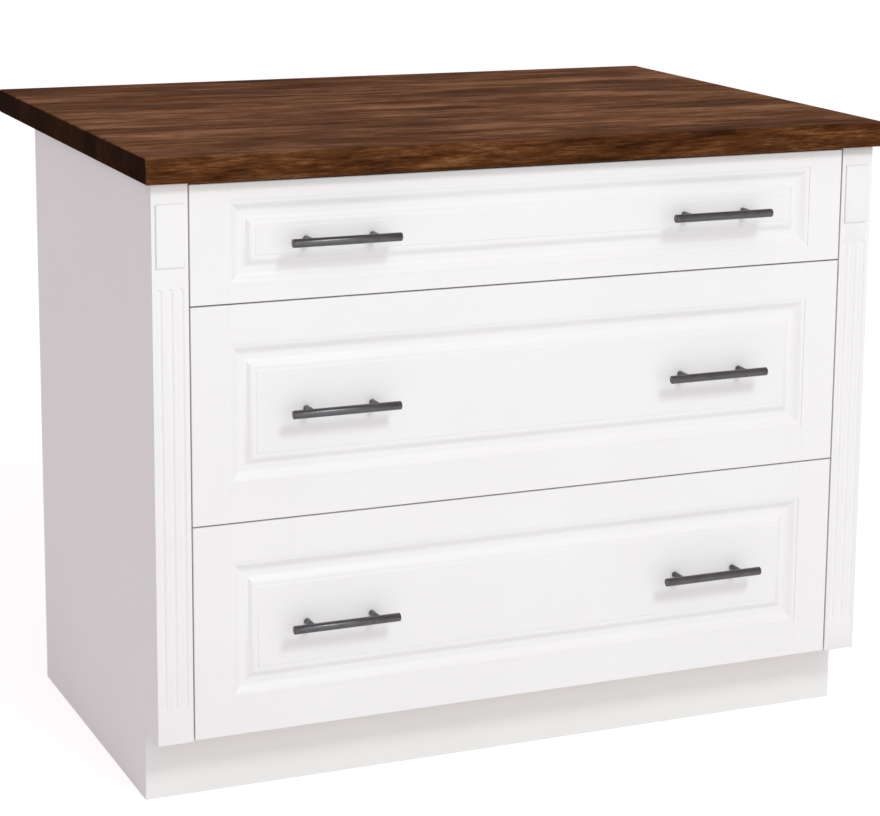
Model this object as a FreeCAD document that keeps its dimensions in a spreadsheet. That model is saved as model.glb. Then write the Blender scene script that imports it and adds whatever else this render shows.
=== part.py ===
import FreeCAD, Part

import math
import os
import re

import Sketcher

# Kitchen island unit: a painted cabinet with three wide drawers under a thick wooden worktop that
# overhangs the back for seating. Millimetres, +Z up. The front faces -Y. The origin is on the floor,
# under the middle of the whole unit, from the handle bars to the back edge of the worktop.

document = FreeCAD.newDocument("KitchenIsland")

# Driving dimensions: name, millimetres, what it measures.
DIMENSIONS = [
    ("cabinet_width", 1100, "across the outer faces of the two end panels"),
    ("cabinet_depth", 610, "face of the drawer fronts to the back of the back panel"),
    ("cabinet_height", 876, "floor to the underside of the worktop"),
    ("worktop_thickness", 36, "glued stave worktop"),
    ("worktop_edge_radius", 2.5, "eased edges of the worktop"),
    ("front_overhang", 18, "worktop in front of the drawer fronts"),
    ("back_overhang", 180, "worktop behind the back panel, over the knee space"),
    ("side_overhang", 12, "worktop beyond each end panel"),
    ("toe_height", 102, "height of the toe space"),
    ("toe_recess", 65, "toe board behind the drawer fronts"),
    ("toe_board_thickness", 16, "board across the toe space"),
    ("end_thickness", 18, "decorative end panels"),
    ("back_thickness", 18, "decorative back panel"),
    ("box_thickness", 18, "sides, bottom and stretchers of the inner box"),
    ("stretcher_width", 90, "front to back width of the two top stretchers"),
    ("batten_depth", 40, "front to back width of the filler battens"),
    ("pilaster_width", 50, "fluted posts beside the drawer fronts"),
    ("block_width", 39, "raised block at the head of a pilaster"),
    ("block_height", 85, "height of the raised block"),
    ("block_thickness", 3.5, "how far the block stands out"),
    ("block_drop", 28, "top of the block below the top of the cabinet"),
    ("block_chamfer", 1.2, "chamfer round the face of the block"),
    ("flute_radius", 5, "round flute cutter"),
    ("flute_depth", 1.6, "depth of a flute"),
    ("flute_spacing", 15, "between flute centres"),
    ("flute_foot", 48, "lower end of the flutes above the foot of the pilaster"),
    ("flute_head", 27, "upper end of the flutes below the block"),
    ("front_thickness", 20, "drawer fronts and pilasters"),
    ("front_gap", 2, "between neighbouring fronts, and fronts and pilasters"),
    ("foot_gap", 1, "lowest front above the foot of the pilasters"),
    ("head_gap", 4, "under the worktop, above the highest front"),
    ("closing_gap", 2, "between the back of the fronts and the inner box"),
    ("top_front_height", 163, "top drawer front; the two deep fronts share the rest"),
    ("stile_width", 53, "flat of the upright members of a front"),
    ("deep_rail_width", 54, "flat of the cross members of the two deep fronts"),
    ("top_rail_width", 24, "flat of the cross members of the top front"),
    ("edge_radius", 1.2, "rounded outer edge of a front"),
    ("quirk_depth", 1.2, "small step where the moulding starts"),
    ("sticking_width", 16, "width of the moulding on stiles and rails"),
    ("sticking_depth", 7, "depth of the moulding at the panel"),
    ("groove_lip", 1, "square lip between the moulding and the panel groove"),
    ("groove_depth", 9, "depth of the panel groove"),
    ("tongue_thickness", 6, "tongue of the panel, which fills the groove's width"),
    ("tongue_play", 1, "room at the bottom of the panel groove"),
    ("panel_play", 0.4, "between the panel's body and the frame round it"),
    ("bevel_width", 22.5, "raised bevel round the field of a panel"),
    ("field_step", 1, "small step between bevel and field"),
    ("field_depth", 1.5, "field of the panel behind the face of the frame"),
    ("wall_thickness", 15, "walls of a drawer box"),
    ("bottom_thickness", 8, "bottom of a drawer box"),
    ("bottom_lift", 12, "bottom above the lower edge of the drawer walls"),
    ("bottom_housing", 6, "how far the bottom is let into the walls"),
    ("bottom_play", 0.3, "room round the edge of the drawer bottom"),
    ("drawer_depth", 510, "front to back length of a drawer box"),
    ("deep_box_drop", 50, "top of a deep drawer box below the top of its front"),
    ("top_box_drop", 32, "top of the top drawer box below the top of its front"),
    ("box_lift", 30, "lower edge of a drawer box above the lower edge of its front"),
    ("slide_room", 12.7, "side room that one drawer slide takes"),
    ("slide_height", 45, "height of a slide's cabinet member"),
    ("slide_length", 500, "length of a closed slide"),
    ("slide_setback", 4, "front end of a slide behind the edge of the box side"),
    ("slide_lift", 40, "middle of a slide above the lower edge of the drawer box"),
    ("slide_metal", 1.2, "sheet steel of the slide members"),
    ("slide_play", 0.3, "running clearance between slide members"),
    ("slide_tip", 1.5, "flange tips short of the drawer wall"),
    ("handle_length", 156, "bar of a handle"),
    ("handle_spacing", 96, "between the two posts of a handle"),
    ("handle_radius", 6, "round bar of a handle"),
    ("handle_chamfer", 1, "chamfered ends of the bar"),
    ("handle_reach", 31, "middle of the bar in front of the panel"),
    ("handle_offset", 287, "middle of a handle from the middle of the front"),
    ("post_radius", 4.5, "round post of a handle"),
    ("post_socket", 4.5, "how far a post enters the bar"),
    ("post_fit", 0.05, "clearance round a post in its socket"),
    ("screw_radius", 2, "shank of every screw"),
    ("head_radius", 4, "head of every screw"),
    ("head_height", 2.5, "thickness of a screw head"),
    ("screw_fit", 0.1, "clearance round a screw shank"),
    ("handle_screw_bite", 9, "handle screw inside the post"),
    ("front_screw_bite", 14, "front screw inside a stile"),
    ("front_screw_side", 8, "front screw from the inner face of the drawer wall"),
    ("front_screw_edge", 28, "front screw from the upper and lower edge of the drawer box"),
    ("worktop_screw_bite", 24, "worktop screw inside the worktop"),
    ("worktop_screw_side", 120, "worktop screw from the inner face of the box side"),
]

# Places that follow from the driving dimensions, worked out from the words on their right.
DERIVED = {
    "half_width": "cabinet_width / 2",
    "worktop_width": "cabinet_width + 2 * side_overhang",
    "handle_stand": "handle_reach + handle_radius - field_depth",
    "front_reach": "front_overhang > handle_stand ? front_overhang : handle_stand",
    "whole_depth": "front_reach + cabinet_depth + back_overhang",
    "face": "front_reach - whole_depth / 2",
    "behind_front": "face + front_thickness",
    "box_front": "behind_front + closing_gap",
    "back": "face + cabinet_depth",
    "behind_box": "back - back_thickness",
    "toe_back": "face + toe_recess + toe_board_thickness",
    "box_half": "half_width - pilaster_width",
    "box_inner": "box_half - box_thickness",
    "front_half": "box_half - front_gap",
    "box_floor": "toe_height + box_thickness",
    "stretcher_bottom": "cabinet_height - box_thickness",
    "fronts_height": "cabinet_height - head_gap - toe_height - foot_gap",
    "deep_front_height": "(fronts_height - top_front_height) / 2 - front_gap",
    "deep_box_height": "deep_front_height - box_lift - deep_box_drop",
    "top_box_height": "top_front_height - box_lift - top_box_drop",
    "bottom_front_foot": "toe_height + foot_gap",
    "middle_front_foot": "bottom_front_foot + deep_front_height + front_gap",
    "top_front_foot": "middle_front_foot + deep_front_height + front_gap",
    "groove_front": "sticking_depth + groove_lip",
    "groove_back": "groove_front + tongue_thickness",
    "sticking_rise": "sticking_depth - quirk_depth",
    "sticking_radius": "(sticking_width ^ 2 + sticking_rise ^ 2) / (2 * sticking_rise)",
    "drawer_half": "box_inner - slide_room",
    "drawer_inner": "drawer_half - wall_thickness",
    "slide_front": "box_front + slide_setback",
    "bar_line": "face + field_depth - handle_reach",
    "post_length": "handle_reach - handle_radius + post_socket",
    "block_foot": "cabinet_height - block_drop - block_height",
    "flute_reach": "flute_radius - flute_depth",
}

# Each drawer: name, lower edge of its front, height of the front, flat of its rails, box height.
DRAWERS = [
    ("bottom_drawer", "bottom_front_foot", "deep_front_height", "deep_rail_width", "deep_box_height"),
    ("middle_drawer", "middle_front_foot", "deep_front_height", "deep_rail_width", "deep_box_height"),
    ("top_drawer", "top_front_foot", "top_front_height", "top_rail_width", "top_box_height"),
]

WORD = re.compile(r"[a-z][a-z_]*")
FLUTE_COUNT = 3
TINY = 1e-6
X_AXIS = FreeCAD.Vector(1, 0, 0)
Y_AXIS = FreeCAD.Vector(0, 1, 0)
QUARTER_TURN = 90
HALF_TURN = 180
FULL_TURN = 360

sizes = document.addObject("Spreadsheet::Sheet", "Sizes")
for row, (alias, millimetres, meaning) in enumerate(DIMENSIONS, start=1):
    sizes.set(f"A{row}", alias)
    sizes.set(f"B{row}", str(millimetres))
    sizes.set(f"C{row}", meaning)
    sizes.setAlias(f"B{row}", alias)
document.recompute()


def formula(text):
    """Turn a formula in plain words into an expression that reads the sheet."""

    def read(match):
        word = match.group(0)
        if word in DERIVED:
            return f"({formula(DERIVED[word])})"
        return f"Sizes.{word}"

    return WORD.sub(read, text)


def value(text):
    """The present value of a formula, for the first guess of a sketch."""
    return float(sizes.evalExpression(formula(text)))


def bind(thing, **formulas):
    """Tie properties of an object to formulas."""
    for name, text in formulas.items():
        thing.setExpression(name, formula(text))
    return thing


def place(thing, x, y, z, axis=Y_AXIS, turn=0):
    """Turn an object about an axis and tie its position to three formulas."""
    thing.Placement = FreeCAD.Placement(FreeCAD.Vector(), FreeCAD.Rotation(axis, turn))
    for letter, text in zip("xyz", (x, y, z)):
        thing.setExpression(f"Placement.Base.{letter}", formula(text))
    return thing


def board(name, x, y, z):
    """A rectangular board between two formulas along each axis."""
    solid = document.addObject("Part::Box", name)
    bind(
        solid,
        Length=f"({x[1]}) - ({x[0]})",
        Width=f"({y[1]}) - ({y[0]})",
        Height=f"({z[1]}) - ({z[0]})",
    )
    return place(solid, x[0], y[0], z[0])


def rod(name, radius, length, x, y, z, axis=X_AXIS, turn=0):
    """A round rod that starts at a point and runs up, or along the turned direction."""
    solid = document.addObject("Part::Cylinder", name)
    bind(solid, Radius=radius, Height=length)
    return place(solid, x, y, z, axis, turn)


def fused(name, pieces):
    """Several overlapping or touching shapes made one solid."""
    whole = document.addObject("Part::MultiFuse", name)
    whole.Shapes = pieces
    whole.Refine = True
    return whole


def group(name, pieces):
    """Separate solids kept together under one name."""
    whole = document.addObject("Part::Compound", name)
    whole.Links = pieces
    return whole


def cut(name, base, tools):
    """A shape with other shapes taken out of it."""
    tool = tools[0] if len(tools) == 1 else group(name + "_tools", tools)
    result = document.addObject("Part::Cut", name)
    result.Base = base
    result.Tool = tool
    return result


def body(name):
    """An empty body made of sketched features."""
    return document.addObject("PartDesign::Body", name)


def origin_plane(owner, role):
    """One of a body's own origin planes or axes, found by its role."""
    for feature in owner.Origin.OriginFeatures:
        if feature.Role == role:
            return feature
    raise ValueError(f"{owner.Name} has no {role}")


def sketch_on(owner, role, name):
    """A new sketch on one of the body's own origin planes."""
    drawing = owner.newObject("Sketcher::SketchObject", name)
    drawing.AttachmentSupport = (origin_plane(owner, role), [""])
    drawing.MapMode = "FlatFace"
    return drawing


def fix(drawing, geometry, along, text):
    """Hold the start of an edge at a formula along X or Y of the sketch."""
    if text == "0":
        line = -2 if along == "DistanceX" else -1
        drawing.addConstraint(Sketcher.Constraint("PointOnObject", geometry, 1, line))
        return
    constraint = Sketcher.Constraint(along, -1, 1, geometry, 1, value(text))
    index = drawing.addConstraint(constraint)
    drawing.setExpression(f"Constraints[{index}]", formula(text))


def outline(drawing, corners):
    """Draw a closed outline through corners given as (x, y, arc), all formulas.

    The arc, if any, belongs to the edge that leaves the corner: (centre x, centre y, radius). It turns
    anticlockwise.
    """
    points = [FreeCAD.Vector(value(x), value(y), 0) for x, y, arc in corners]
    for index, (x, y, arc) in enumerate(corners):
        start = points[index]
        finish = points[(index + 1) % len(points)]
        if arc is None:
            drawing.addGeometry(Part.LineSegment(start, finish))
            continue
        centre = FreeCAD.Vector(value(arc[0]), value(arc[1]), 0)
        circle = Part.Circle(centre, FreeCAD.Vector(0, 0, 1), value(arc[2]))
        first = circle.parameter(start)
        last = circle.parameter(finish)
        if last <= first:
            last += 2 * math.pi
        drawing.addGeometry(Part.ArcOfCircle(circle, first, last))
    for index, (x, y, arc) in enumerate(corners):
        before = (index - 1) % len(corners)
        drawing.addConstraint(Sketcher.Constraint("Coincident", before, 2, index, 1))
        fix(drawing, index, "DistanceX", x)
        fix(drawing, index, "DistanceY", y)
        if arc is not None:
            number = drawing.addConstraint(Sketcher.Constraint("Radius", index, value(arc[2])))
            drawing.setExpression(f"Constraints[{number}]", formula(arc[2]))


def rectangle(drawing, x, y):
    """Draw a rectangle between two formulas along each axis of a sketch."""
    corners = [(x[0], y[0]), (x[1], y[0]), (x[1], y[1]), (x[0], y[1])]
    outline(drawing, [(across, up, None) for across, up in corners])


def padded(owner, drawing, length):
    """Extrude a sketch along its normal by a formula."""
    pad = owner.newObject("PartDesign::Pad", owner.Name + "_pad")
    pad.Profile = drawing
    bind(pad, Length=length)
    document.recompute()
    return pad


def edges_where(feature, test):
    """Names of a feature's edges whose middle and direction pass a test."""
    names = []
    for index, edge in enumerate(feature.Shape.Edges, start=1):
        if test(edge):
            names.append(f"Edge{index}")
    return names


def moulded_bar(name, flat, length, x, z, turn):
    """A stile or rail: flat face, small step, round moulding and panel groove, cut to length.

    The profile runs from the outer edge at 0 towards the panel, and is turned about Y to its place.
    """
    bar = body(name)
    drawing = sketch_on(bar, "XY_Plane", name + "_profile")
    inner = f"{flat} + sticking_width"
    bed = f"{inner} - groove_depth"
    corner_arc = ("edge_radius", "edge_radius", "edge_radius")
    moulding_arc = (flat, "quirk_depth + sticking_radius", "sticking_radius")
    outline(
        drawing,
        [
            ("0", "edge_radius", corner_arc),
            ("edge_radius", "0", None),
            (flat, "0", None),
            (flat, "quirk_depth", moulding_arc),
            (inner, "sticking_depth", None),
            (inner, "groove_front", None),
            (bed, "groove_front", None),
            (bed, "groove_back", None),
            (inner, "groove_back", None),
            (inner, "front_thickness", None),
            ("0", "front_thickness", None),
        ],
    )
    padded(bar, drawing, length)
    return place(bar, x, "face", z, Y_AXIS, turn)


def screw(name, bite, x, y, z, axis=X_AXIS, turn=0):
    """A screw whose head is seated at the start point, and its shank runs the turned way."""
    shank = rod(name + "_shank", "screw_radius", bite, "0", "0", "0")
    head = rod(name + "_head", "head_radius", "head_height", "0", "0", "-head_height")
    return place(fused(name, [shank, head]), x, y, z, axis, turn)


parts = []


def keep(thing, label):
    """Count an object as a sub-part under its own name."""
    thing.Label = label
    parts.append(thing)
    return thing


HOLE = "screw_radius + screw_fit"


def worktop_screw_places():
    """Where the four worktop screws pass the two stretchers, two in front and two behind."""
    front = "box_front + stretcher_width / 2"
    rear = "behind_box - stretcher_width / 2"
    side = "box_inner - worktop_screw_side"
    return [(f"-({side})", front), (side, front), (f"-({side})", rear), (side, rear)]


def worktop():
    """The worktop, with blind holes underneath for the screws that hold it down."""
    slab = body("worktop_slab")
    drawing = sketch_on(slab, "XY_Plane", "worktop_outline")
    rectangle(
        drawing,
        ("-worktop_width / 2", "worktop_width / 2"),
        ("face - front_overhang", "back + back_overhang"),
    )
    pad = padded(slab, drawing, "worktop_thickness")
    easing = slab.newObject("PartDesign::Fillet", "worktop_easing")
    easing.Base = (pad, edges_where(pad, lambda edge: True))
    bind(easing, Radius="worktop_edge_radius")
    place(slab, "0", "0", "cabinet_height")
    holes = []
    for number, (x, y) in enumerate(worktop_screw_places()):
        name = f"worktop_hole_{number}"
        holes.append(rod(name, HOLE, "worktop_screw_bite", x, y, "cabinet_height"))
    keep(cut("worktop_drilled", slab, holes), "worktop")


def upright(label, x, front, rear):
    """A board from floor to worktop with the toe space cut out of its front foot."""
    whole = board(label + "_blank", x, (front, rear), ("0", "cabinet_height"))
    notch = board(label + "_toe", x, (front, "toe_back"), ("0", "toe_height"))
    keep(cut(label + "_notched", whole, [notch]), label)


def cabinet():
    """The upright and level boards of the fixed cabinet."""
    end_inner = "half_width - end_thickness"
    upright("end_panel_left", ("-half_width", f"-({end_inner})"), "behind_front", "back")
    upright("end_panel_right", (end_inner, "half_width"), "behind_front", "back")
    upright("box_side_left", ("-box_half", "-box_inner"), "box_front", "behind_box")
    upright("box_side_right", ("box_inner", "box_half"), "box_front", "behind_box")
    full_height = ("0", "cabinet_height")
    between_sides = ("-box_inner", "box_inner")
    between_ends = (f"-({end_inner})", end_inner)
    box_depth = ("box_front", "behind_box")
    toe_depth = ("face + toe_recess", "toe_back")
    keep(board("floor", between_sides, box_depth, ("toe_height", "box_floor")), "box_bottom")
    keep(board("rear", between_ends, ("behind_box", "back"), full_height), "back_panel")
    whole_width = ("-half_width", "half_width")
    keep(board("toe_board", whole_width, toe_depth, ("0", "toe_height")), "toe_kick_board")


def stretchers():
    """Two boards across the top of the box, and the screws that pull the worktop down on them."""
    depths = [
        ("box_front", "box_front + stretcher_width"),
        ("behind_box - stretcher_width", "behind_box"),
    ]
    places = worktop_screw_places()
    boards = []
    screws = []
    for end, depth in enumerate(depths):
        holes = []
        for side in range(2):
            x, y = places[2 * end + side]
            name = f"worktop_screw_{end}_{side}"
            holes.append(rod(name + "_hole", HOLE, "box_thickness", x, y, "stretcher_bottom"))
            bite = "box_thickness + worktop_screw_bite"
            screws.append(screw(name, bite, x, y, "stretcher_bottom"))
        across = ("-box_inner", "box_inner")
        high = ("stretcher_bottom", "cabinet_height")
        blank = board(f"stretcher_{end}_blank", across, depth, high)
        boards.append(cut(f"stretcher_{end}", blank, holes))
    keep(group("stretcher_pair", boards), "top_stretchers")
    keep(group("worktop_screw_set", screws), "worktop_screws")


def battens():
    """Uprights that fill the room between the inner box and the end panels."""
    end_inner = "half_width - end_thickness"
    sides = [(f"-({end_inner})", "-box_half"), ("box_half", end_inner)]
    front = ("behind_front", "behind_front + batten_depth")
    rear = ("behind_box - batten_depth", "behind_box")
    pieces = []
    for number, x in enumerate(sides):
        high = ("toe_height", "cabinet_height")
        pieces.append(board(f"batten_{number}_front", x, front, high))
        pieces.append(board(f"batten_{number}_rear", x, rear, ("0", "cabinet_height")))
    keep(group("batten_set", pieces), "filler_battens")


def flutes(post, name):
    """Three round-ended flutes: one revolved groove, repeated along X."""
    drawing = sketch_on(post, "YZ_Plane", name + "_flute_profile")
    low = "flute_foot"
    high = "(block_foot - flute_head - toe_height)"
    lower_arc = ("0", f"{low} + flute_radius", "flute_radius")
    upper_arc = ("0", f"{high} - flute_radius", "flute_radius")
    outline(
        drawing,
        [
            ("0", low, lower_arc),
            ("flute_radius", f"{low} + flute_radius", None),
            ("flute_radius", f"{high} - flute_radius", upper_arc),
            ("0", high, None),
        ],
    )
    groove = post.newObject("PartDesign::Groove", name + "_flute")
    groove.Profile = drawing
    groove.ReferenceAxis = (drawing, ["V_Axis"])
    groove.Angle = FULL_TURN
    document.recompute()
    row = post.newObject("PartDesign::LinearPattern", name + "_flutes")
    row.Originals = [groove]
    row.Direction = (origin_plane(post, "X_Axis"), [""])
    row.Occurrences = FLUTE_COUNT
    bind(row, Length=f"{FLUTE_COUNT - 1} * flute_spacing")
    post.Tip = row


def pilaster(name, left_edge):
    """A fluted post beside the drawers; its own origin is on the line of its first flute."""
    post = body(name + "_post")
    plan = sketch_on(post, "XY_Plane", name + "_plan")
    rectangle(
        plan,
        ("flute_spacing - pilaster_width / 2", "flute_spacing + pilaster_width / 2"),
        ("flute_reach", "flute_reach + front_thickness"),
    )
    padded(post, plan, "cabinet_height - toe_height")
    flutes(post, name)
    first_flute = f"{left_edge} + pilaster_width / 2 - flute_spacing"
    place(post, first_flute, "face - flute_reach", "toe_height")
    keep(post, name)


def pilaster_block(name, left_edge):
    """The raised block at the head of a pilaster, with a chamfered face."""
    block = body(name)
    drawing = sketch_on(block, "XZ_Plane", name + "_face")
    rectangle(drawing, ("0", "block_width"), ("0", "block_height"))
    pad = padded(block, drawing, "block_thickness")
    chamfer = block.newObject("PartDesign::Chamfer", name + "_chamfer")
    outer = min(edge.CenterOfMass.y for edge in pad.Shape.Edges)
    chamfer.Base = (pad, edges_where(pad, lambda edge: edge.CenterOfMass.y < outer + TINY))
    bind(chamfer, Size="block_chamfer")
    margin = "(pilaster_width - block_width) / 2"
    return place(block, f"{left_edge} + {margin}", "face", "block_foot")


def channel(name, side, solid, hollow, height, middle):
    """A slide member: a steel channel in the room between a box side and a drawer wall.

    solid and hollow are distances from the box side towards the drawer; side is -1 or 1 for X.
    """
    long = ("slide_front", "slide_front + slide_length")
    half = f"({height}) / 2"
    inside = f"{half} - slide_metal"

    def across(span):
        near, far = span
        if side < 0:
            return (f"-box_inner + {near}", f"-box_inner + {far}")
        return (f"box_inner - ({far})", f"box_inner - ({near})")

    outer_high = (f"{middle} - {half}", f"{middle} + {half}")
    inner_high = (f"{middle} - ({inside})", f"{middle} + {inside}")
    bar = board(name + "_bar", across(solid), long, outer_high)
    space = board(name + "_space", across(hollow), long, inner_high)
    return cut(name, bar, [space])


def slide_members(drawer_name, middle):
    """The three telescopic members of both slides of a drawer, each pair in a list."""
    tips = "slide_room - slide_tip"
    middle_web = "slide_metal + slide_play"
    middle_height = "slide_height - 2 * (slide_metal + slide_play)"
    runner_tips = "2 * (slide_metal + slide_play)"
    runner_height = "slide_height - 4 * (slide_metal + slide_play)"
    pairs = {"fixed": [], "middle": [], "runner": []}
    for side, word in ((-1, "left"), (1, "right")):
        name = f"{drawer_name}_{word}"
        fixed = (("0", tips), ("slide_metal", tips), "slide_height")
        carried = ((middle_web, tips), (f"{middle_web} + slide_metal", tips), middle_height)
        runner = ((runner_tips, "slide_room"), (runner_tips, "slide_room - slide_metal"), runner_height)
        for kind, (solid, hollow, height) in zip(pairs, (fixed, carried, runner)):
            member = channel(f"{name}_{kind}", side, solid, hollow, height, middle)
            pairs[kind].append(member)
    return pairs


def front_frame(name, foot, height, rail):
    """Stiles and rails of a drawer front; the rails are coped over the moulding of the stiles."""
    opening = "front_half - stile_width"
    top = f"{foot} + {height}"
    length = f"2 * ({opening})"
    left = moulded_bar(name + "_left_bar", "stile_width", height, "-front_half", foot, 0)
    right = moulded_bar(name + "_right_bar", "stile_width", height, "front_half", top, HALF_TURN)
    upper = moulded_bar(name + "_upper_bar", rail, length, f"-({opening})", top, QUARTER_TURN)
    lower = moulded_bar(name + "_lower_bar", rail, length, opening, foot, -QUARTER_TURN)
    keep(cut(name + "_upper_coped", upper, [left, right]), name + "_rail_top")
    keep(cut(name + "_lower_coped", lower, [left, right]), name + "_rail_bottom")
    return left, right


def raised_panel(name, foot, height, rail, holes):
    """The panel of a drawer front: tongue, body, bevel and field, drilled for the handles."""
    across = "front_half - stile_width - sticking_width"
    low = f"{foot} + {rail} + sticking_width"
    high = f"{foot} + {height} - {rail} - sticking_width"

    def spread(growth):
        """The frame's opening, grown by a formula on all four sides."""
        x = (f"-({across}) - ({growth})", f"{across} + ({growth})")
        z = (f"{low} - ({growth})", f"{high} + ({growth})")
        return x, z

    bed = "face + groove_front"
    slope_top = "face + field_depth + field_step"
    x, z = spread("groove_depth - tongue_play")
    tongue = board(name + "_tongue", x, (bed, "face + groove_back"), z)
    x, z = spread("-panel_play")
    core = board(name + "_core", x, (bed, "behind_front"), z)
    field_x, field_z = spread("-bevel_width")
    field = board(name + "_field", field_x, ("face + field_depth", bed), field_z)
    bevel = document.addObject("Part::Wedge", name + "_bevel")
    bind(bevel, Ymin=slope_top, Ymax=bed, X2min=x[0], X2max=x[1], Z2min=z[0], Z2max=z[1])
    bind(bevel, Xmin=field_x[0], Xmax=field_x[1], Zmin=field_z[0], Zmax=field_z[1])
    whole = fused(name + "_panel_blank", [tongue, core, field, bevel])
    keep(cut(name + "_panel_drilled", whole, holes), name + "_panel")


def handles(name, middle):
    """Two bar handles on a drawer front, with the screws that hold them.

    Returns the screws and the places of the posts along X.
    """
    bars = []
    posts = []
    screws = []
    places = []
    bite = "wall_thickness + front_thickness - field_depth + handle_screw_bite"
    for side, centre in (("left", "-handle_offset"), ("right", "handle_offset")):
        bar = body(f"{name}_{side}_bar")
        drawing = sketch_on(bar, "YZ_Plane", f"{name}_{side}_bar_section")
        circle = Part.Circle(FreeCAD.Vector(), FreeCAD.Vector(0, 0, 1), value("handle_radius"))
        drawing.addGeometry(circle)
        drawing.addConstraint(Sketcher.Constraint("Coincident", 0, 3, -1, 1))
        drawing.addConstraint(Sketcher.Constraint("Radius", 0, value("handle_radius")))
        drawing.setExpression("Constraints[1]", formula("handle_radius"))
        pad = padded(bar, drawing, "handle_length")
        chamfer = bar.newObject("PartDesign::Chamfer", f"{name}_{side}_bar_chamfer")
        chamfer.Base = (pad, edges_where(pad, lambda edge: edge.isClosed()))
        bind(chamfer, Size="handle_chamfer")
        place(bar, f"{centre} - handle_length / 2", "bar_line", middle)
        sockets = []
        for step in ("-", "+"):
            x = f"{centre} {step} handle_spacing / 2"
            label = f"{name}_{side}_post_{len(sockets)}"
            start = (x, "face + field_depth", middle, X_AXIS, QUARTER_TURN)
            socket = rod(label + "_socket", "post_radius + post_fit", "post_length", *start)
            tapping = rod(label + "_tapping", HOLE, "handle_screw_bite", *start)
            blank = rod(label + "_blank", "post_radius", "post_length", *start)
            sockets.append(socket)
            posts.append(cut(label, blank, [tapping]))
            inside = (x, "behind_front + wall_thickness", middle, X_AXIS, QUARTER_TURN)
            screws.append(screw(f"{label}_screw", bite, *inside))
            places.append(x)
        bars.append(cut(f"{name}_{side}_bar_bored", bar, sockets))
    keep(group(name + "_bar_pair", bars), name + "_handle_bars")
    keep(group(name + "_post_set", posts), name + "_handle_posts")
    return screws, places


def drawer_box(name, foot, height, holes):
    """Walls of a drawer box with its bottom let into them."""
    rear = "behind_front + drawer_depth"
    full = ("behind_front", rear)
    high = (foot, f"{foot} + {height}")
    level = (f"{foot} + bottom_lift", f"{foot} + bottom_lift + bottom_thickness")

    def bottom_board(suffix, play):
        """The bottom, or its housing when there is no play."""
        reach = f"bottom_housing - {play}"
        x = (f"-drawer_inner - ({reach})", f"drawer_inner + ({reach})")
        ends = (f"behind_front + wall_thickness - ({reach})", f"{rear} - wall_thickness + ({reach})")
        return board(name + suffix, x, ends, level)

    housing = bottom_board("_housing", "0")
    left = board(name + "_left_wall", ("-drawer_half", "-drawer_inner"), full, high)
    right = board(name + "_right_wall", ("drawer_inner", "drawer_half"), full, high)
    between = ("-drawer_inner", "drawer_inner")
    front = board(name + "_front_wall", between, ("behind_front", "behind_front + wall_thickness"), high)
    back = board(name + "_back_wall", between, (f"{rear} - wall_thickness", rear), high)
    keep(cut(name + "_left_housed", left, [housing]), name + "_side_left")
    keep(cut(name + "_right_housed", right, [housing]), name + "_side_right")
    keep(cut(name + "_back_housed", back, [housing]), name + "_box_back")
    keep(cut(name + "_front_drilled", front, [housing] + holes), name + "_box_front")
    keep(bottom_board("_bottom_board", "bottom_play"), name + "_bottom")


def drawer(name, foot, height, rail, box_height):
    """One drawer: framed front, handles, box, runners and screws. Returns its fixed slide members."""
    box_foot = f"{foot} + box_lift"
    middle = f"{foot} + ({height}) / 2"
    inner_face = "behind_front + wall_thickness"
    handle_screws, post_places = handles(name, middle)
    wall_holes = []
    panel_holes = []
    for number, x in enumerate(post_places):
        label = f"{name}_handle_hole_{number}"
        turned = (middle, X_AXIS, QUARTER_TURN)
        wall_holes.append(rod(label + "_wall", HOLE, "wall_thickness", x, inner_face, *turned))
        depth = "front_thickness - field_depth"
        panel_holes.append(rod(label + "_panel", HOLE, depth, x, "behind_front", *turned))
    raised_panel(name, foot, height, rail, panel_holes)
    stiles = front_frame(name, foot, height, rail)
    front_screws = []
    screw_x = "drawer_inner - front_screw_side"
    heights = (f"{box_foot} + front_screw_edge", f"{box_foot} + {box_height} - front_screw_edge")
    for side, x, stile in (("left", f"-({screw_x})", stiles[0]), ("right", screw_x, stiles[1])):
        stile_holes = []
        for number, z in enumerate(heights):
            label = f"{name}_front_screw_{side}_{number}"
            turned = (z, X_AXIS, QUARTER_TURN)
            wall_holes.append(rod(label + "_wall", HOLE, "wall_thickness", x, inner_face, *turned))
            stile_holes.append(rod(label + "_hole", HOLE, "front_screw_bite", x, "behind_front", *turned))
            bite = "wall_thickness + front_screw_bite"
            front_screws.append(screw(label, bite, x, inner_face, *turned))
        keep(cut(f"{name}_{side}_drilled", stile, stile_holes), f"{name}_stile_{side}")
    drawer_box(name, box_foot, box_height, wall_holes)
    keep(group(name + "_screw_set", handle_screws + front_screws), name + "_screws")
    members = slide_members(name, f"{box_foot} + slide_lift")
    keep(group(name + "_runner_pair", members["runner"]), name + "_runners")
    keep(group(name + "_middle_pair", members["middle"]), name + "_slide_middles")
    return members["fixed"]


def check_document():
    """Stop if a feature failed, or a sub-part is empty or not a valid closed shape."""
    for thing in document.Objects:
        if "Invalid" in thing.State or "Error" in thing.State:
            raise RuntimeError(f"{thing.Name} did not recompute")
    for part in parts:
        shape = part.Shape
        if shape.isNull() or not shape.isValid() or not shape.Solids:
            raise RuntimeError(f"{part.Label} has no valid solid")


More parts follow.
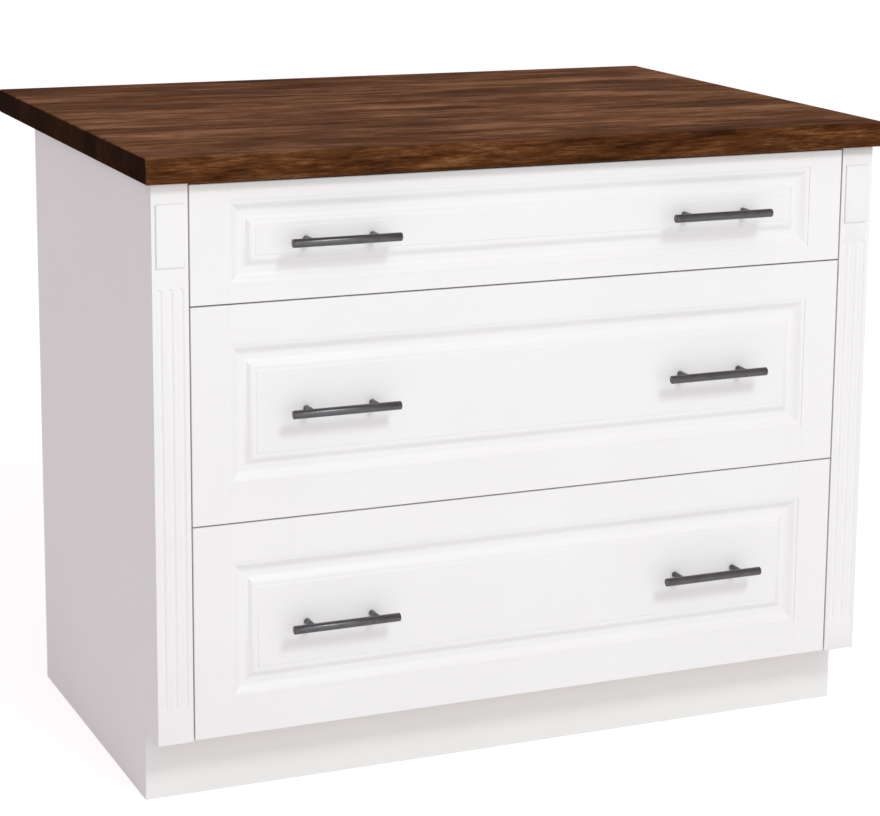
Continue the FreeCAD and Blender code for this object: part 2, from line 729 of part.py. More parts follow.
worktop()
cabinet()
stretchers()
battens()
pilaster("pilaster_left", "-half_width")
pilaster("pilaster_right", "box_half")
block_left = pilaster_block("block_left", "-half_width")
block_right = pilaster_block("block_right", "box_half")
keep(group("block_pair", [block_left, block_right]), "pilaster_blocks")
fixed_members = []
for words in DRAWERS:
    fixed_members.extend(drawer(*words))
keep(group("fixed_member_set", fixed_members), "slide_cabinet_members")

document.recompute()
check_document()
os.makedirs("parts", exist_ok=True)
for part in parts:
    part.Shape.exportStep(f"parts/{part.Label}.step")
    print(part.Label, len(part.Shape.Solids), round(part.Shape.Volume))
print(len(parts), "sub-parts")
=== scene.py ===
"""Dresses the kitchen island unit: finishes, modelled pieces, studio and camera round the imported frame.

Metres, +Z up. The front faces -Y, and the origin is on the floor under the middle of the whole unit.
"""

import logging
import math
import random
from collections.abc import Callable
from dataclasses import dataclass
from enum import Enum

import bmesh
import bpy
from mathutils import Matrix, Vector

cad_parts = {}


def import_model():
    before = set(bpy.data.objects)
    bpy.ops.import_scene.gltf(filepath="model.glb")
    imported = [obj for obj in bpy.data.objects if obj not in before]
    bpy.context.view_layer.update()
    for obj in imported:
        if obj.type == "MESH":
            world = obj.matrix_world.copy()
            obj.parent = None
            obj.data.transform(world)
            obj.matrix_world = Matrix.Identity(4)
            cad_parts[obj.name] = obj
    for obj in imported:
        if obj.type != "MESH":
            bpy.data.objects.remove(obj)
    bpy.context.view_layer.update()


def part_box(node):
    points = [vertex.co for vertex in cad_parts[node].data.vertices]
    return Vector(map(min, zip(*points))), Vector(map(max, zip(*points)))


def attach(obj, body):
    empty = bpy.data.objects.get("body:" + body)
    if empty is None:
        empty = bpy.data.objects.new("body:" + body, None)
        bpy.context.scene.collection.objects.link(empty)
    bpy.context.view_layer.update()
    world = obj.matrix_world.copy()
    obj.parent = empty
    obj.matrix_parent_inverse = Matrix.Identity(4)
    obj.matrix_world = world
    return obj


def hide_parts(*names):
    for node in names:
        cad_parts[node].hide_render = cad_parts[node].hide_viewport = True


LOG = logging.getLogger("island")
MM = 0.001
TINY = 1e-5
X_AXIS = Vector((1, 0, 0))
Y_AXIS = Vector((0, 1, 0))
Z_AXIS = Vector((0, 0, 1))
FACING = 0.9
Colour = tuple[float, float, float]
Box = tuple[Vector, Vector]
Test = Callable[[Vector, Vector], bool]
Part = bmesh.types.BMVert | bmesh.types.BMEdge | bmesh.types.BMFace


# ---------------------------------------------------------------------------------------------- bench


class Element(Enum):
    """What a selection in edit mode is made of."""

    VERTEX = "VERT"
    EDGE = "EDGE"
    FACE = "FACE"


def begin(name: str) -> bpy.types.Object:
    """Put an empty mesh at the origin and open it for editing.

    Args:
        name: name of the new object.

    Returns:
        The object, active and in edit mode.
    """
    bpy.ops.object.select_all(action="DESELECT")
    bpy.ops.object.add(type="MESH", location=(0, 0, 0))
    piece = bpy.context.object
    piece.name = name
    bpy.ops.object.mode_set(mode="EDIT")
    return piece


def close() -> None:
    """Point all faces outwards and leave edit mode."""
    bpy.ops.mesh.select_all(action="SELECT")
    bpy.ops.mesh.normals_make_consistent(inside=False)
    bpy.ops.object.mode_set(mode="OBJECT")


def add_block(low: Vector, high: Vector) -> None:
    """Add a rectangular block between two corners to the mesh in edit mode."""
    bpy.ops.mesh.primitive_cube_add(size=1, location=(low + high) / 2, scale=high - low)


def add_rod(radius: float, start: Vector, finish: Vector, sides: int) -> None:
    """Add a round rod along X, Y or Z between two points to the mesh in edit mode.

    Args:
        radius: radius of the rod.
        start: middle of its first end.
        finish: middle of its other end.
        sides: number of flats round it.
    """
    run = finish - start
    turn = run.to_track_quat("Z", "Y").to_euler()
    bpy.ops.mesh.primitive_cylinder_add(
        vertices=sides, radius=radius, depth=run.length, location=(start + finish) / 2, rotation=turn
    )


def middle_and_normal(element: Part) -> tuple[Vector, Vector]:
    """Where an element is, and which way it faces (along itself for an edge)."""
    if isinstance(element, bmesh.types.BMVert):
        return element.co, element.normal
    if isinstance(element, bmesh.types.BMEdge):
        first, last = (vertex.co for vertex in element.verts)
        return (first + last) / 2, (last - first).normalized()
    return element.calc_center_median(), element.normal


def choose(kind: Element, test: Test) -> int:
    """Select, in the mesh in edit mode, only the elements that pass a test.

    Args:
        kind: what to select.
        test: gets an element's middle and its normal or direction.

    Returns:
        How many elements passed.
    """
    bpy.ops.mesh.select_mode(type=kind.value)
    bpy.ops.mesh.select_all(action="DESELECT")
    data = bpy.context.edit_object.data
    mesh = bmesh.from_edit_mesh(data)
    mesh.normal_update()
    groups = {Element.VERTEX: mesh.verts, Element.EDGE: mesh.edges, Element.FACE: mesh.faces}
    passed = [element for element in groups[kind] if test(*middle_and_normal(element))]
    for element in passed:
        element.select_set(True)
    mesh.select_flush_mode()
    bmesh.update_edit_mesh(data)
    return len(passed)


def slice_at(point: Vector, normal: Vector, everywhere: bool = True) -> None:
    """Cut the faces along a plane, all of them or only those selected."""
    if everywhere:
        bpy.ops.mesh.select_all(action="SELECT")
    bpy.ops.mesh.bisect(plane_co=point, plane_no=normal)


def extrude(step: Vector) -> None:
    """Extrude the selected faces by a step."""
    bpy.ops.mesh.extrude_region_move(TRANSFORM_OT_translate={"value": step})


def fatten(distance: float) -> None:
    """Extrude the selected ring of faces outwards, square at its corners."""
    bpy.ops.mesh.extrude_region_shrink_fatten(
        TRANSFORM_OT_shrink_fatten={"value": distance, "use_even_offset": True}
    )


def modify(piece: bpy.types.Object, kind: str, **settings: object) -> None:
    """Add one modifier to the active piece, set it up and apply it."""
    bpy.ops.object.modifier_add(type=kind)
    modifier = piece.modifiers[-1]
    for name, setting in settings.items():
        setattr(modifier, name, setting)
    bpy.ops.object.modifier_apply(modifier=modifier.name)


def ease(piece: bpy.types.Object, width: float, segments: int = 2, sharper_than: float = 50) -> None:
    """Round the sharp edges of the active piece and shade it smooth between them.

    Args:
        piece: the active piece, in object mode.
        width: how far the rounding reaches from each edge.
        segments: flats in the rounding.
        sharper_than: degrees between two faces from which their edge is rounded.
    """
    modify(
        piece,
        "BEVEL",
        width=width,
        segments=segments,
        limit_method="ANGLE",
        angle_limit=math.radians(sharper_than),
        use_clamp_overlap=True,
    )
    smooth(piece)


def smooth(piece: bpy.types.Object, angle: float = 30) -> None:
    """Shade the active piece smooth over gentle angles, with its wide faces kept flat."""
    bpy.ops.object.shade_smooth_by_angle(angle=math.radians(angle))
    modify(piece, "WEIGHTED_NORMAL", mode="FACE_AREA", weight=80, keep_sharp=True)


def duplicate(piece: bpy.types.Object, name: str, step: Vector, mirrored: bool = False) -> bpy.types.Object:
    """Copy a finished piece with a mesh of its own.

    Args:
        piece: the piece to copy.
        name: name of the copy.
        step: how far the copy is moved.
        mirrored: whether the copy is first mirrored across X.

    Returns:
        The copy, active and in object mode.
    """
    bpy.ops.object.select_all(action="DESELECT")
    piece.select_set(True)
    bpy.context.view_layer.objects.active = piece
    bpy.ops.object.duplicate(linked=False)
    twin = bpy.context.object
    twin.name = name
    bpy.ops.object.mode_set(mode="EDIT")
    bpy.ops.mesh.select_all(action="SELECT")
    if mirrored:
        bpy.ops.transform.resize(value=(-1, 1, 1), center_override=(0, 0, 0))
        bpy.ops.mesh.flip_normals()
    bpy.ops.transform.translate(value=step)
    bpy.ops.object.mode_set(mode="OBJECT")
    return twin


def join(pieces: list[bpy.types.Object], name: str) -> bpy.types.Object:
    """Make several pieces one object under a name."""
    bpy.ops.object.select_all(action="DESELECT")
    for piece in pieces:
        piece.select_set(True)
    bpy.context.view_layer.objects.active = pieces[0]
    bpy.ops.object.join()
    pieces[0].name = name
    return pieces[0]


def carve(piece: bpy.types.Object, cutter: bpy.types.Object) -> None:
    """Take the cutter out of the piece and delete the cutter."""
    bpy.ops.object.select_all(action="DESELECT")
    piece.select_set(True)
    bpy.context.view_layer.objects.active = piece
    modify(piece, "BOOLEAN", object=cutter, operation="DIFFERENCE", solver="EXACT", use_self=True)
    bpy.data.objects.remove(cutter)


# ------------------------------------------------------------------------------------------- finishes


class Sheet:
    """The node tree of one material, with short ways to add and join nodes."""

    def __init__(self, name: str) -> None:
        """Start a material with only a Principled shader and its output."""
        self.material = bpy.data.materials.new(name)
        self.material.use_nodes = True
        self.tree = self.material.node_tree
        self.tree.nodes.clear()
        self.shader = self.add("ShaderNodeBsdfPrincipled")
        output = self.add("ShaderNodeOutputMaterial")
        self.tree.links.new(self.shader.outputs["BSDF"], output.inputs["Surface"])
        self.place = self.add("ShaderNodeTexCoord").outputs["Object"]

    def add(self, kind: str, inputs: dict | None = None, **settings: object) -> bpy.types.Node:
        """Add a node.

        Args:
            kind: Blender's name of the node.
            inputs: values or sockets for its inputs, by name or number.
            settings: properties of the node.

        Returns:
            The node.
        """
        node = self.tree.nodes.new(kind)
        for name, setting in settings.items():
            setattr(node, name, setting)
        for name, value in (inputs or {}).items():
            self.feed(node.inputs[name], value)
        return node

    def feed(self, socket: bpy.types.NodeSocket, value: object) -> None:
        """Give an input a plain value, or link another node's output to it."""
        if isinstance(value, bpy.types.NodeSocket):
            self.tree.links.new(value, socket)
        else:
            socket.default_value = value

    def sum(self, operation: str, first: object, second: object = 0.0) -> bpy.types.NodeSocket:
        """One step of arithmetic on two values."""
        return self.add("ShaderNodeMath", {0: first, 1: second}, operation=operation).outputs[0]

    def total(self, values: list[object]) -> bpy.types.NodeSocket:
        """All the values added up."""
        result = values[0]
        for value in values[1:]:
            result = self.sum("ADD", result, value)
        return result

    def stretch(self, scale: Colour, place: object = None) -> bpy.types.NodeSocket:
        """Coordinates scaled by a different amount along each axis."""
        inputs = {"Vector": place or self.place, "Scale": scale}
        return self.add("ShaderNodeMapping", inputs).outputs["Vector"]

    def noise(self, place: object, scale: float, detail: float = 3, roughness: float = 0.5) -> bpy.types.NodeSocket:
        """Smooth noise from 0 to 1 at the given coordinates."""
        inputs = {"Vector": place, "Scale": scale, "Detail": detail, "Roughness": roughness}
        return self.add("ShaderNodeTexNoise", inputs).outputs["Fac"]

    def remap(self, value: object, source: tuple[float, float], target: tuple[float, float]) -> bpy.types.NodeSocket:
        """Move a value from one range to another, and hold it there."""
        inputs = {
            "Value": value,
            "From Min": source[0],
            "From Max": source[1],
            "To Min": target[0],
            "To Max": target[1],
        }
        return self.add("ShaderNodeMapRange", inputs).outputs["Result"]

    def ramp(self, value: object, stops: list[tuple[float, Colour]]) -> bpy.types.NodeSocket:
        """Colours spread along a value from 0 to 1."""
        node = self.add("ShaderNodeValToRGB", {"Fac": value})
        elements = node.color_ramp.elements
        while len(elements) < len(stops):
            elements.new(0.5)
        for element, (position, colour) in zip(elements, stops):
            element.position = position
            element.color = (*colour, 1)
        return node.outputs["Color"]

    def blend(self, share: object, first: object, second: object, way: str = "MIX") -> bpy.types.NodeSocket:
        """Mix two colours by a share."""
        node = self.add("ShaderNodeMix", data_type="RGBA", blend_type=way)
        self.feed(node.inputs[0], share)
        for socket, colour in ((node.inputs[6], first), (node.inputs[7], second)):
            self.feed(socket, (*colour, 1) if isinstance(colour, tuple) else colour)
        return node.outputs[2]

    def bump(self, height: object, depth: float, under: object = None) -> bpy.types.NodeSocket:
        """A surface relief of a height from 0 to 1 times a depth in metres."""
        inputs = {"Height": height, "Distance": depth, "Strength": 1.0}
        if under is not None:
            inputs["Normal"] = under
        return self.add("ShaderNodeBump", inputs).outputs["Normal"]

    def finish(self, **inputs: object) -> bpy.types.Material:
        """Set the shader's inputs, named with _ for spaces, and return the material."""
        for name, value in inputs.items():
            self.feed(self.shader.inputs[name.replace("_", " ")], value)
        return self.material


class Grain(Enum):
    """Which way the fibres of a piece of wood run, and how noise is squeezed to follow them."""

    X = (0.06, 1.0, 1.0)
    Y = (1.0, 0.06, 1.0)
    Z = (1.0, 1.0, 0.06)


@dataclass(frozen=True)
class SatinPaint:
    """Sprayed satin paint over close-grained timber, whose fibres show faintly through it."""

    colour: Colour = (0.88, 0.862, 0.868)
    shade: Colour = (0.858, 0.838, 0.846)
    slot: str = "white_paint"
    word: str = "painted"

    def make(self, grain: Grain) -> bpy.types.Material:
        """The paint on timber whose fibres run one way."""
        sheet = Sheet(f"satin_paint_{grain.name.lower()}")
        cloud = sheet.noise(sheet.place, 5, 3)
        fibre = sheet.noise(sheet.stretch(grain.value), 420, 3, 0.6)
        peel = sheet.noise(sheet.place, 650, 2)
        tone = sheet.remap(sheet.sum("ADD", sheet.sum("MULTIPLY", cloud, 0.7), sheet.sum("MULTIPLY", fibre, 0.3)),
                           (0.35, 0.65), (0, 1))
        relief = sheet.bump(peel, 0.03 * MM, sheet.bump(fibre, 0.03 * MM))
        return sheet.finish(
            Base_Color=sheet.blend(tone, self.shade, self.colour),
            Roughness=sheet.remap(peel, (0.3, 0.7), (0.34, 0.44)),
            Normal=relief,
            Specular_IOR_Level=0.4,
        )


@dataclass(frozen=True)
class DarkWalnut:
    """Oiled dark staves: broad figure, streaks, fibres and pores, with painted shade on the sawn edges, and ends
    darkened partly by oil-soaked end grain and partly by painted shade.
    """

    deep: Colour = (0.044, 0.0142, 0.0042)
    heart: Colour = (0.142, 0.0545, 0.0178)
    pale: Colour = (0.35, 0.168, 0.078)
    flat_shares: tuple[float, ...] = (0.2, 0.28, 0.22, 0.18, 0.12)
    sawn_shares: tuple[float, ...] = (0.08, 0.21, 0.3, 0.25, 0.16)
    spread: tuple[float, float] = (4.7, 4.9)
    # Painted shade: multiplied onto the sawn front and back edges to darken them.
    edge: Colour = (0.68, 0.6, 0.53)
    # Darkens the ends: partly the oil that end grain soaks up, partly painted shade.
    end: Colour = (0.18, 0.145, 0.11)
    slot: str = "walnut_worktop"
    word: str = "oiled"

    def make(self) -> bpy.types.Material:
        """The wood, which reads each stave's shift and tone from the mesh."""
        sheet = Sheet("dark_walnut")
        shift = sheet.add("ShaderNodeAttribute", attribute_name="stave_shift").outputs["Vector"]
        tone = sheet.add("ShaderNodeAttribute", attribute_name="stave_tone").outputs["Fac"]
        place = sheet.add("ShaderNodeVectorMath", {0: sheet.place, 1: shift}, operation="ADD").outputs[0]
        bend = sheet.noise(sheet.stretch((1, 3, 3), place), 4, 2)
        lean = sheet.add("ShaderNodeCombineXYZ", {"Y": sheet.remap(bend, (0.3, 0.7), (-4 * MM, 4 * MM))})
        place = sheet.add("ShaderNodeVectorMath", {0: place, 1: lean.outputs[0]}, operation="ADD").outputs[0]
        broad = sheet.noise(sheet.stretch((1, 6, 6), place), 2.4, 2)
        figure = sheet.noise(sheet.stretch((1, 5, 5), place), 8, 3, 0.6)
        streak = sheet.noise(sheet.stretch((1, 11, 11), place), 9.5, 4, 0.6)
        dash = sheet.noise(sheet.stretch((1, 10, 10), place), 34, 3, 0.6)
        fibre = sheet.noise(sheet.stretch((1, 14, 14), place), 90, 3, 0.65)
        facing = sheet.add("ShaderNodeSeparateXYZ", {0: sheet.add("ShaderNodeTexCoord").outputs["Normal"]})
        sawn = sheet.remap(sheet.sum("ABSOLUTE", facing.outputs["Y"]), (0.55, 0.9), (0, 1))
        ending = sheet.remap(sheet.sum("ABSOLUTE", facing.outputs["X"]), (0.55, 0.9), (0, 1))
        layers = (broad, figure, streak, dash, fibre)
        flat, cut = (
            sheet.total([sheet.sum("MULTIPLY", layer, share) for layer, share in zip(layers, shares)])
            for shares in (self.flat_shares, self.sawn_shares)
        )
        mixed = sheet.remap(sawn, (0, 1), (flat, cut))
        spread = sheet.remap(sawn, (0, 1), self.spread)
        mixed = sheet.sum("MULTIPLY", sheet.sum("SUBTRACT", mixed, 0.5), spread)
        lightness = sheet.remap(tone, (0, 1), (0.36, 0.68))
        mixed = sheet.sum("ADD", mixed, lightness)
        wood = sheet.ramp(mixed, [(0.0, self.deep), (0.5, self.heart), (1.0, self.pale)])
        pore = sheet.remap(sheet.noise(sheet.stretch((1, 30, 30), place), 62, 2), (0.6, 0.72), (0, 1))
        wood = sheet.blend(sheet.sum("MULTIPLY", pore, 0.5), wood, self.deep)
        block = sheet.blend(tone, (0.55, 0.55, 0.55), (1.3, 1.3, 1.3))
        # Painted shade: the sawn edges are multiplied by the edge colour.
        wood = sheet.blend(sawn, wood, sheet.blend(1.0, wood, self.edge, "MULTIPLY"))
        # End grain darkened, partly by its soaked-in oil and partly by painted shade.
        end_grain_and_shade = sheet.blend(1.0, sheet.blend(0.55, wood, self.heart), self.end, "MULTIPLY")
        wood = sheet.blend(ending, wood, sheet.blend(1.0, end_grain_and_shade, block, "MULTIPLY"))
        height = sheet.sum("SUBTRACT", fibre, sheet.sum("MULTIPLY", pore, 0.8))
        return sheet.finish(
            Base_Color=wood,
            Roughness=sheet.remap(ending, (0, 1), (sheet.remap(mixed, (0.1, 0.9), (0.8, 0.64)), 1.0)),
            Normal=sheet.bump(height, 0.12 * MM),
            Specular_IOR_Level=0.04,
        )


@dataclass(frozen=True)
class BirchPly:
    """Clear lacquered birch: pale figured face, and thin plies that show where the board is cut."""

    pale: Colour = (0.74, 0.58, 0.39)
    warm: Colour = (0.62, 0.45, 0.28)
    glue: Colour = (0.36, 0.23, 0.13)
    ply: float = 1.4 * MM
    slot: str = "birch_ply"
    word: str = "birch"

    def make(self, grain: Grain, across: Grain) -> bpy.types.Material:
        """The board with fibres one way and its thickness across another."""
        sheet = Sheet(f"birch_{grain.name.lower()}_{across.name.lower()}")
        streak = sheet.noise(sheet.stretch(grain.value), 60, 5, 0.6)
        figure = sheet.noise(sheet.stretch(grain.value), 14, 3, 0.5)
        mixed = sheet.sum("ADD", sheet.sum("MULTIPLY", streak, 0.6), sheet.sum("MULTIPLY", figure, 0.4))
        face = sheet.ramp(sheet.remap(mixed, (0.32, 0.68), (0, 1)), [(0.0, self.warm), (1.0, self.pale)])
        depth = sheet.add("ShaderNodeSeparateXYZ", {0: sheet.place}).outputs[across.name]
        layer = sheet.sum("SINE", sheet.sum("MULTIPLY", depth, math.pi / self.ply))
        plies = sheet.ramp(
            sheet.remap(layer, (-0.9, 0.9), (0, 1)), [(0.0, self.glue), (0.35, self.warm), (1.0, self.pale)]
        )
        normal = sheet.add("ShaderNodeSeparateXYZ", {0: sheet.add("ShaderNodeTexCoord").outputs["Normal"]})
        edge = sheet.remap(sheet.sum("ABSOLUTE", normal.outputs[across.name]), (0.4, 0.7), (1, 0))
        return sheet.finish(
            Base_Color=sheet.blend(edge, face, plies),
            Roughness=sheet.remap(streak, (0.3, 0.7), (0.38, 0.5)),
            Normal=sheet.bump(streak, 0.04 * MM),
            Specular_IOR_Level=0.4,
        )


@dataclass(frozen=True)
class Graphite:
    """Satin graphite coating over brushed steel bar."""

    dark: Colour = (0.075, 0.071, 0.077)
    light: Colour = (0.12, 0.114, 0.122)
    slot: str = "black_metal"
    word: str = "graphite"

    def make(self) -> bpy.types.Material:
        """The coating, brushed along X."""
        sheet = Sheet("graphite")
        brushed = sheet.noise(sheet.stretch((0.04, 1, 1)), 2600, 3, 0.6)
        cloud = sheet.noise(sheet.place, 60, 3)
        tone = sheet.sum("ADD", sheet.sum("MULTIPLY", brushed, 0.5), sheet.sum("MULTIPLY", cloud, 0.5))
        return sheet.finish(
            Base_Color=sheet.blend(sheet.remap(tone, (0.3, 0.7), (0, 1)), self.dark, self.light),
            Metallic=0.8,
            Roughness=sheet.remap(brushed, (0.3, 0.7), (0.24, 0.34)),
            Normal=sheet.bump(brushed, 0.01 * MM),
        )


@dataclass(frozen=True)
class ZincSteel:
    """Zinc plated sheet and screws with a faint spangle and rolling lines."""

    dull: Colour = (0.48, 0.48, 0.49)
    bright: Colour = (0.68, 0.68, 0.7)
    slot: str = "zinc_steel"
    word: str = "zinc"

    def make(self) -> bpy.types.Material:
        """The plating, rolled along Y."""
        sheet = Sheet("zinc_steel")
        rolled = sheet.noise(sheet.stretch((1, 0.03, 1)), 900, 3, 0.6)
        spangle = sheet.noise(sheet.place, 130, 4, 0.7)
        tone = sheet.sum("ADD", sheet.sum("MULTIPLY", rolled, 0.5), sheet.sum("MULTIPLY", spangle, 0.5))
        return sheet.finish(
            Base_Color=sheet.blend(sheet.remap(tone, (0.3, 0.7), (0, 1)), self.dull, self.bright),
            Metallic=1.0,
            Roughness=sheet.remap(tone, (0.3, 0.7), (0.28, 0.42)),
            Normal=sheet.bump(rolled, 0.01 * MM),
        )


class Finishes:
    """Every finish of the island, made once and shared by its pieces."""

    def __init__(self) -> None:
        """Make the materials."""
        self.paint = SatinPaint()
        self.walnut = DarkWalnut()
        self.ply = BirchPly()
        self.graphite = Graphite()
        self.zinc = ZincSteel()
        self.painted = {grain: self.paint.make(grain) for grain in Grain}
        self.oiled = self.walnut.make()
        self.coated = self.graphite.make()
        self.plated = self.zinc.make()
        self.boards: dict[tuple[Grain, Grain], bpy.types.Material] = {}

    def board(self, grain: Grain, across: Grain) -> bpy.types.Material:
        """Birch ply with fibres and thickness along two axes."""
        if (grain, across) not in self.boards:
            self.boards[grain, across] = self.ply.make(grain, across)
        return self.boards[grain, across]


def hand_over(
    piece: bpy.types.Object, node: str, finish: object, material: bpy.types.Material, body: str
) -> bpy.types.Object:
    """Give a finished piece its material, its body and the CAD node that it stands for.

    Args:
        piece: the modelled piece.
        node: the CAD node that it replaces.
        finish: the finish whose word it takes.
        material: the finish's material for this piece.
        body: the CAD body that it moves with.

    Returns:
        The piece under its final name.
    """
    piece.name = f"{node}_{finish.word}"
    piece.data.name = piece.name
    piece.data.materials.clear()
    piece.data.materials.append(material)
    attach(piece, body)
    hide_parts(node)
    LOG.info("%s: %d faces on %s", piece.name, len(piece.data.polygons), body)
    return piece


# -------------------------------------------------------------------------------------------- cabinet


@dataclass
class Worktop:
    """Thick worktop of glued staves with eased edges."""

    finishes: Finishes
    staves: int = 11
    unevenness: float = 0.22
    easing: float = 4 * MM
    steps: int = 5
    heart_drift: float = 30 * MM
    heart_depths: tuple[float, float] = (30 * MM, 90 * MM)
    log_reach: float = 9.0
    seed: int = 25

    def build(self) -> None:
        """Model the slab, score it into staves and give each stave its own cut of wood."""
        low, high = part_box("worktop")
        chance = random.Random(self.seed)
        shares = [1 + chance.uniform(-self.unevenness, self.unevenness) for _ in range(self.staves)]
        lines = [low.y]
        for share in shares:
            lines.append(lines[-1] + share / sum(shares) * (high.y - low.y))
        piece = begin("worktop_slab")
        add_block(low, high)
        for line in lines[1:-1]:
            slice_at(Vector((0, line, 0)), Y_AXIS)
        close()
        ease(piece, self.easing, self.steps)
        self.mark_staves(piece, lines, chance)
        hand_over(piece, "worktop", self.finishes.walnut, self.finishes.oiled, "cabinet")

    def mark_staves(self, piece: bpy.types.Object, lines: list[float], chance: random.Random) -> None:
        """Store on every face where its stave lay in the log, and the stave's tone.

        Args:
            piece: the worktop.
            lines: edges of the staves along Y.
            chance: source of the staves' shifts and tones.
        """
        low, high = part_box("worktop")
        cuts = []
        for first, last in zip(lines, lines[1:]):
            heart = (first + last) / 2 + chance.uniform(-self.heart_drift, self.heart_drift)
            depth = (low.z + high.z) / 2 + chance.choice((-1, 1)) * chance.uniform(*self.heart_depths)
            along = chance.uniform(-self.log_reach, self.log_reach)
            cuts.append((Vector((along, -heart, -depth)), chance.random()))
        shifts = piece.data.attributes.new("stave_shift", "FLOAT_VECTOR", "FACE")
        tones = piece.data.attributes.new("stave_tone", "FLOAT", "FACE")
        for polygon in piece.data.polygons:
            within = sum(polygon.center.y > line for line in lines[1:-1])
            shifts.data[polygon.index].vector = cuts[within][0]
            tones.data[polygon.index].value = cuts[within][1]


@dataclass
class Carcass:
    """The fixed boards: end panels, back, toe board and the inner box that carries the slides."""

    finishes: Finishes
    stretcher_width: float = 90 * MM
    batten_depth: float = 40 * MM
    arris: float = 0.8 * MM
    inner_arris: float = 0.5 * MM

    def build(self) -> None:
        """Model every board of the cabinet."""
        self.upright("end_panel_left", True)
        self.upright("end_panel_right", True)
        self.upright("box_side_left", False)
        self.upright("box_side_right", False)
        self.painted_board("back_panel", Grain.X)
        self.painted_board("toe_kick_board", Grain.X)
        self.ply_board("box_bottom", Grain.X, Grain.Z)
        self.stretchers()
        self.battens()

    def upright(self, node: str, outside: bool) -> None:
        """Model a board that stands on the floor and has the toe space cut out of its foot.

        Args:
            node: the CAD node.
            outside: whether it is a painted end panel rather than a side of the inner box.
        """
        low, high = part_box(node)
        toe_low, toe_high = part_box("toe_kick_board")
        piece = begin(node)
        add_block(Vector((low.x, low.y, toe_high.z)), high)
        slice_at(Vector((0, toe_high.y, 0)), Y_AXIS)
        choose(Element.FACE, lambda middle, normal: normal.z < -FACING and middle.y > toe_high.y)
        extrude(Vector((0, 0, low.z - toe_high.z)))
        close()
        if outside:
            ease(piece, self.arris)
            hand_over(piece, node, self.finishes.paint, self.finishes.painted[Grain.Z], "cabinet")
        else:
            ease(piece, self.inner_arris)
            material = self.finishes.board(Grain.Z, Grain.X)
            hand_over(piece, node, self.finishes.ply, material, "cabinet")

    def painted_board(self, node: str, grain: Grain) -> None:
        """Model a plain painted board."""
        piece = begin(node)
        add_block(*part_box(node))
        close()
        ease(piece, self.arris)
        hand_over(piece, node, self.finishes.paint, self.finishes.painted[grain], "cabinet")

    def ply_board(self, node: str, grain: Grain, across: Grain) -> None:
        """Model a plain ply board."""
        piece = begin(node)
        add_block(*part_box(node))
        close()
        ease(piece, self.inner_arris)
        hand_over(piece, node, self.finishes.ply, self.finishes.board(grain, across), "cabinet")

    def stretchers(self) -> None:
        """Model the two boards across the top of the inner box, at its front and its back."""
        low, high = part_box("top_stretchers")
        piece = begin("top_stretchers")
        add_block(low, Vector((high.x, low.y + self.stretcher_width, high.z)))
        add_block(Vector((low.x, high.y - self.stretcher_width, low.z)), high)
        close()
        ease(piece, self.inner_arris)
        material = self.finishes.board(Grain.X, Grain.Z)
        hand_over(piece, "top_stretchers", self.finishes.ply, material, "cabinet")

    def battens(self) -> None:
        """Model the four uprights between the inner box and the end panels."""
        low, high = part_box("filler_battens")
        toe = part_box("toe_kick_board")[1].z
        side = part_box("box_side_right")[1].x
        piece = begin("filler_battens")
        for near, far in ((low.x, -side), (side, high.x)):
            add_block(Vector((near, low.y, toe)), Vector((far, low.y + self.batten_depth, high.z)))
            add_block(Vector((near, high.y - self.batten_depth, low.z)), Vector((far, high.y, high.z)))
        close()
        ease(piece, self.inner_arris)
        material = self.finishes.board(Grain.Z, Grain.X)
        hand_over(piece, "filler_battens", self.finishes.ply, material, "cabinet")


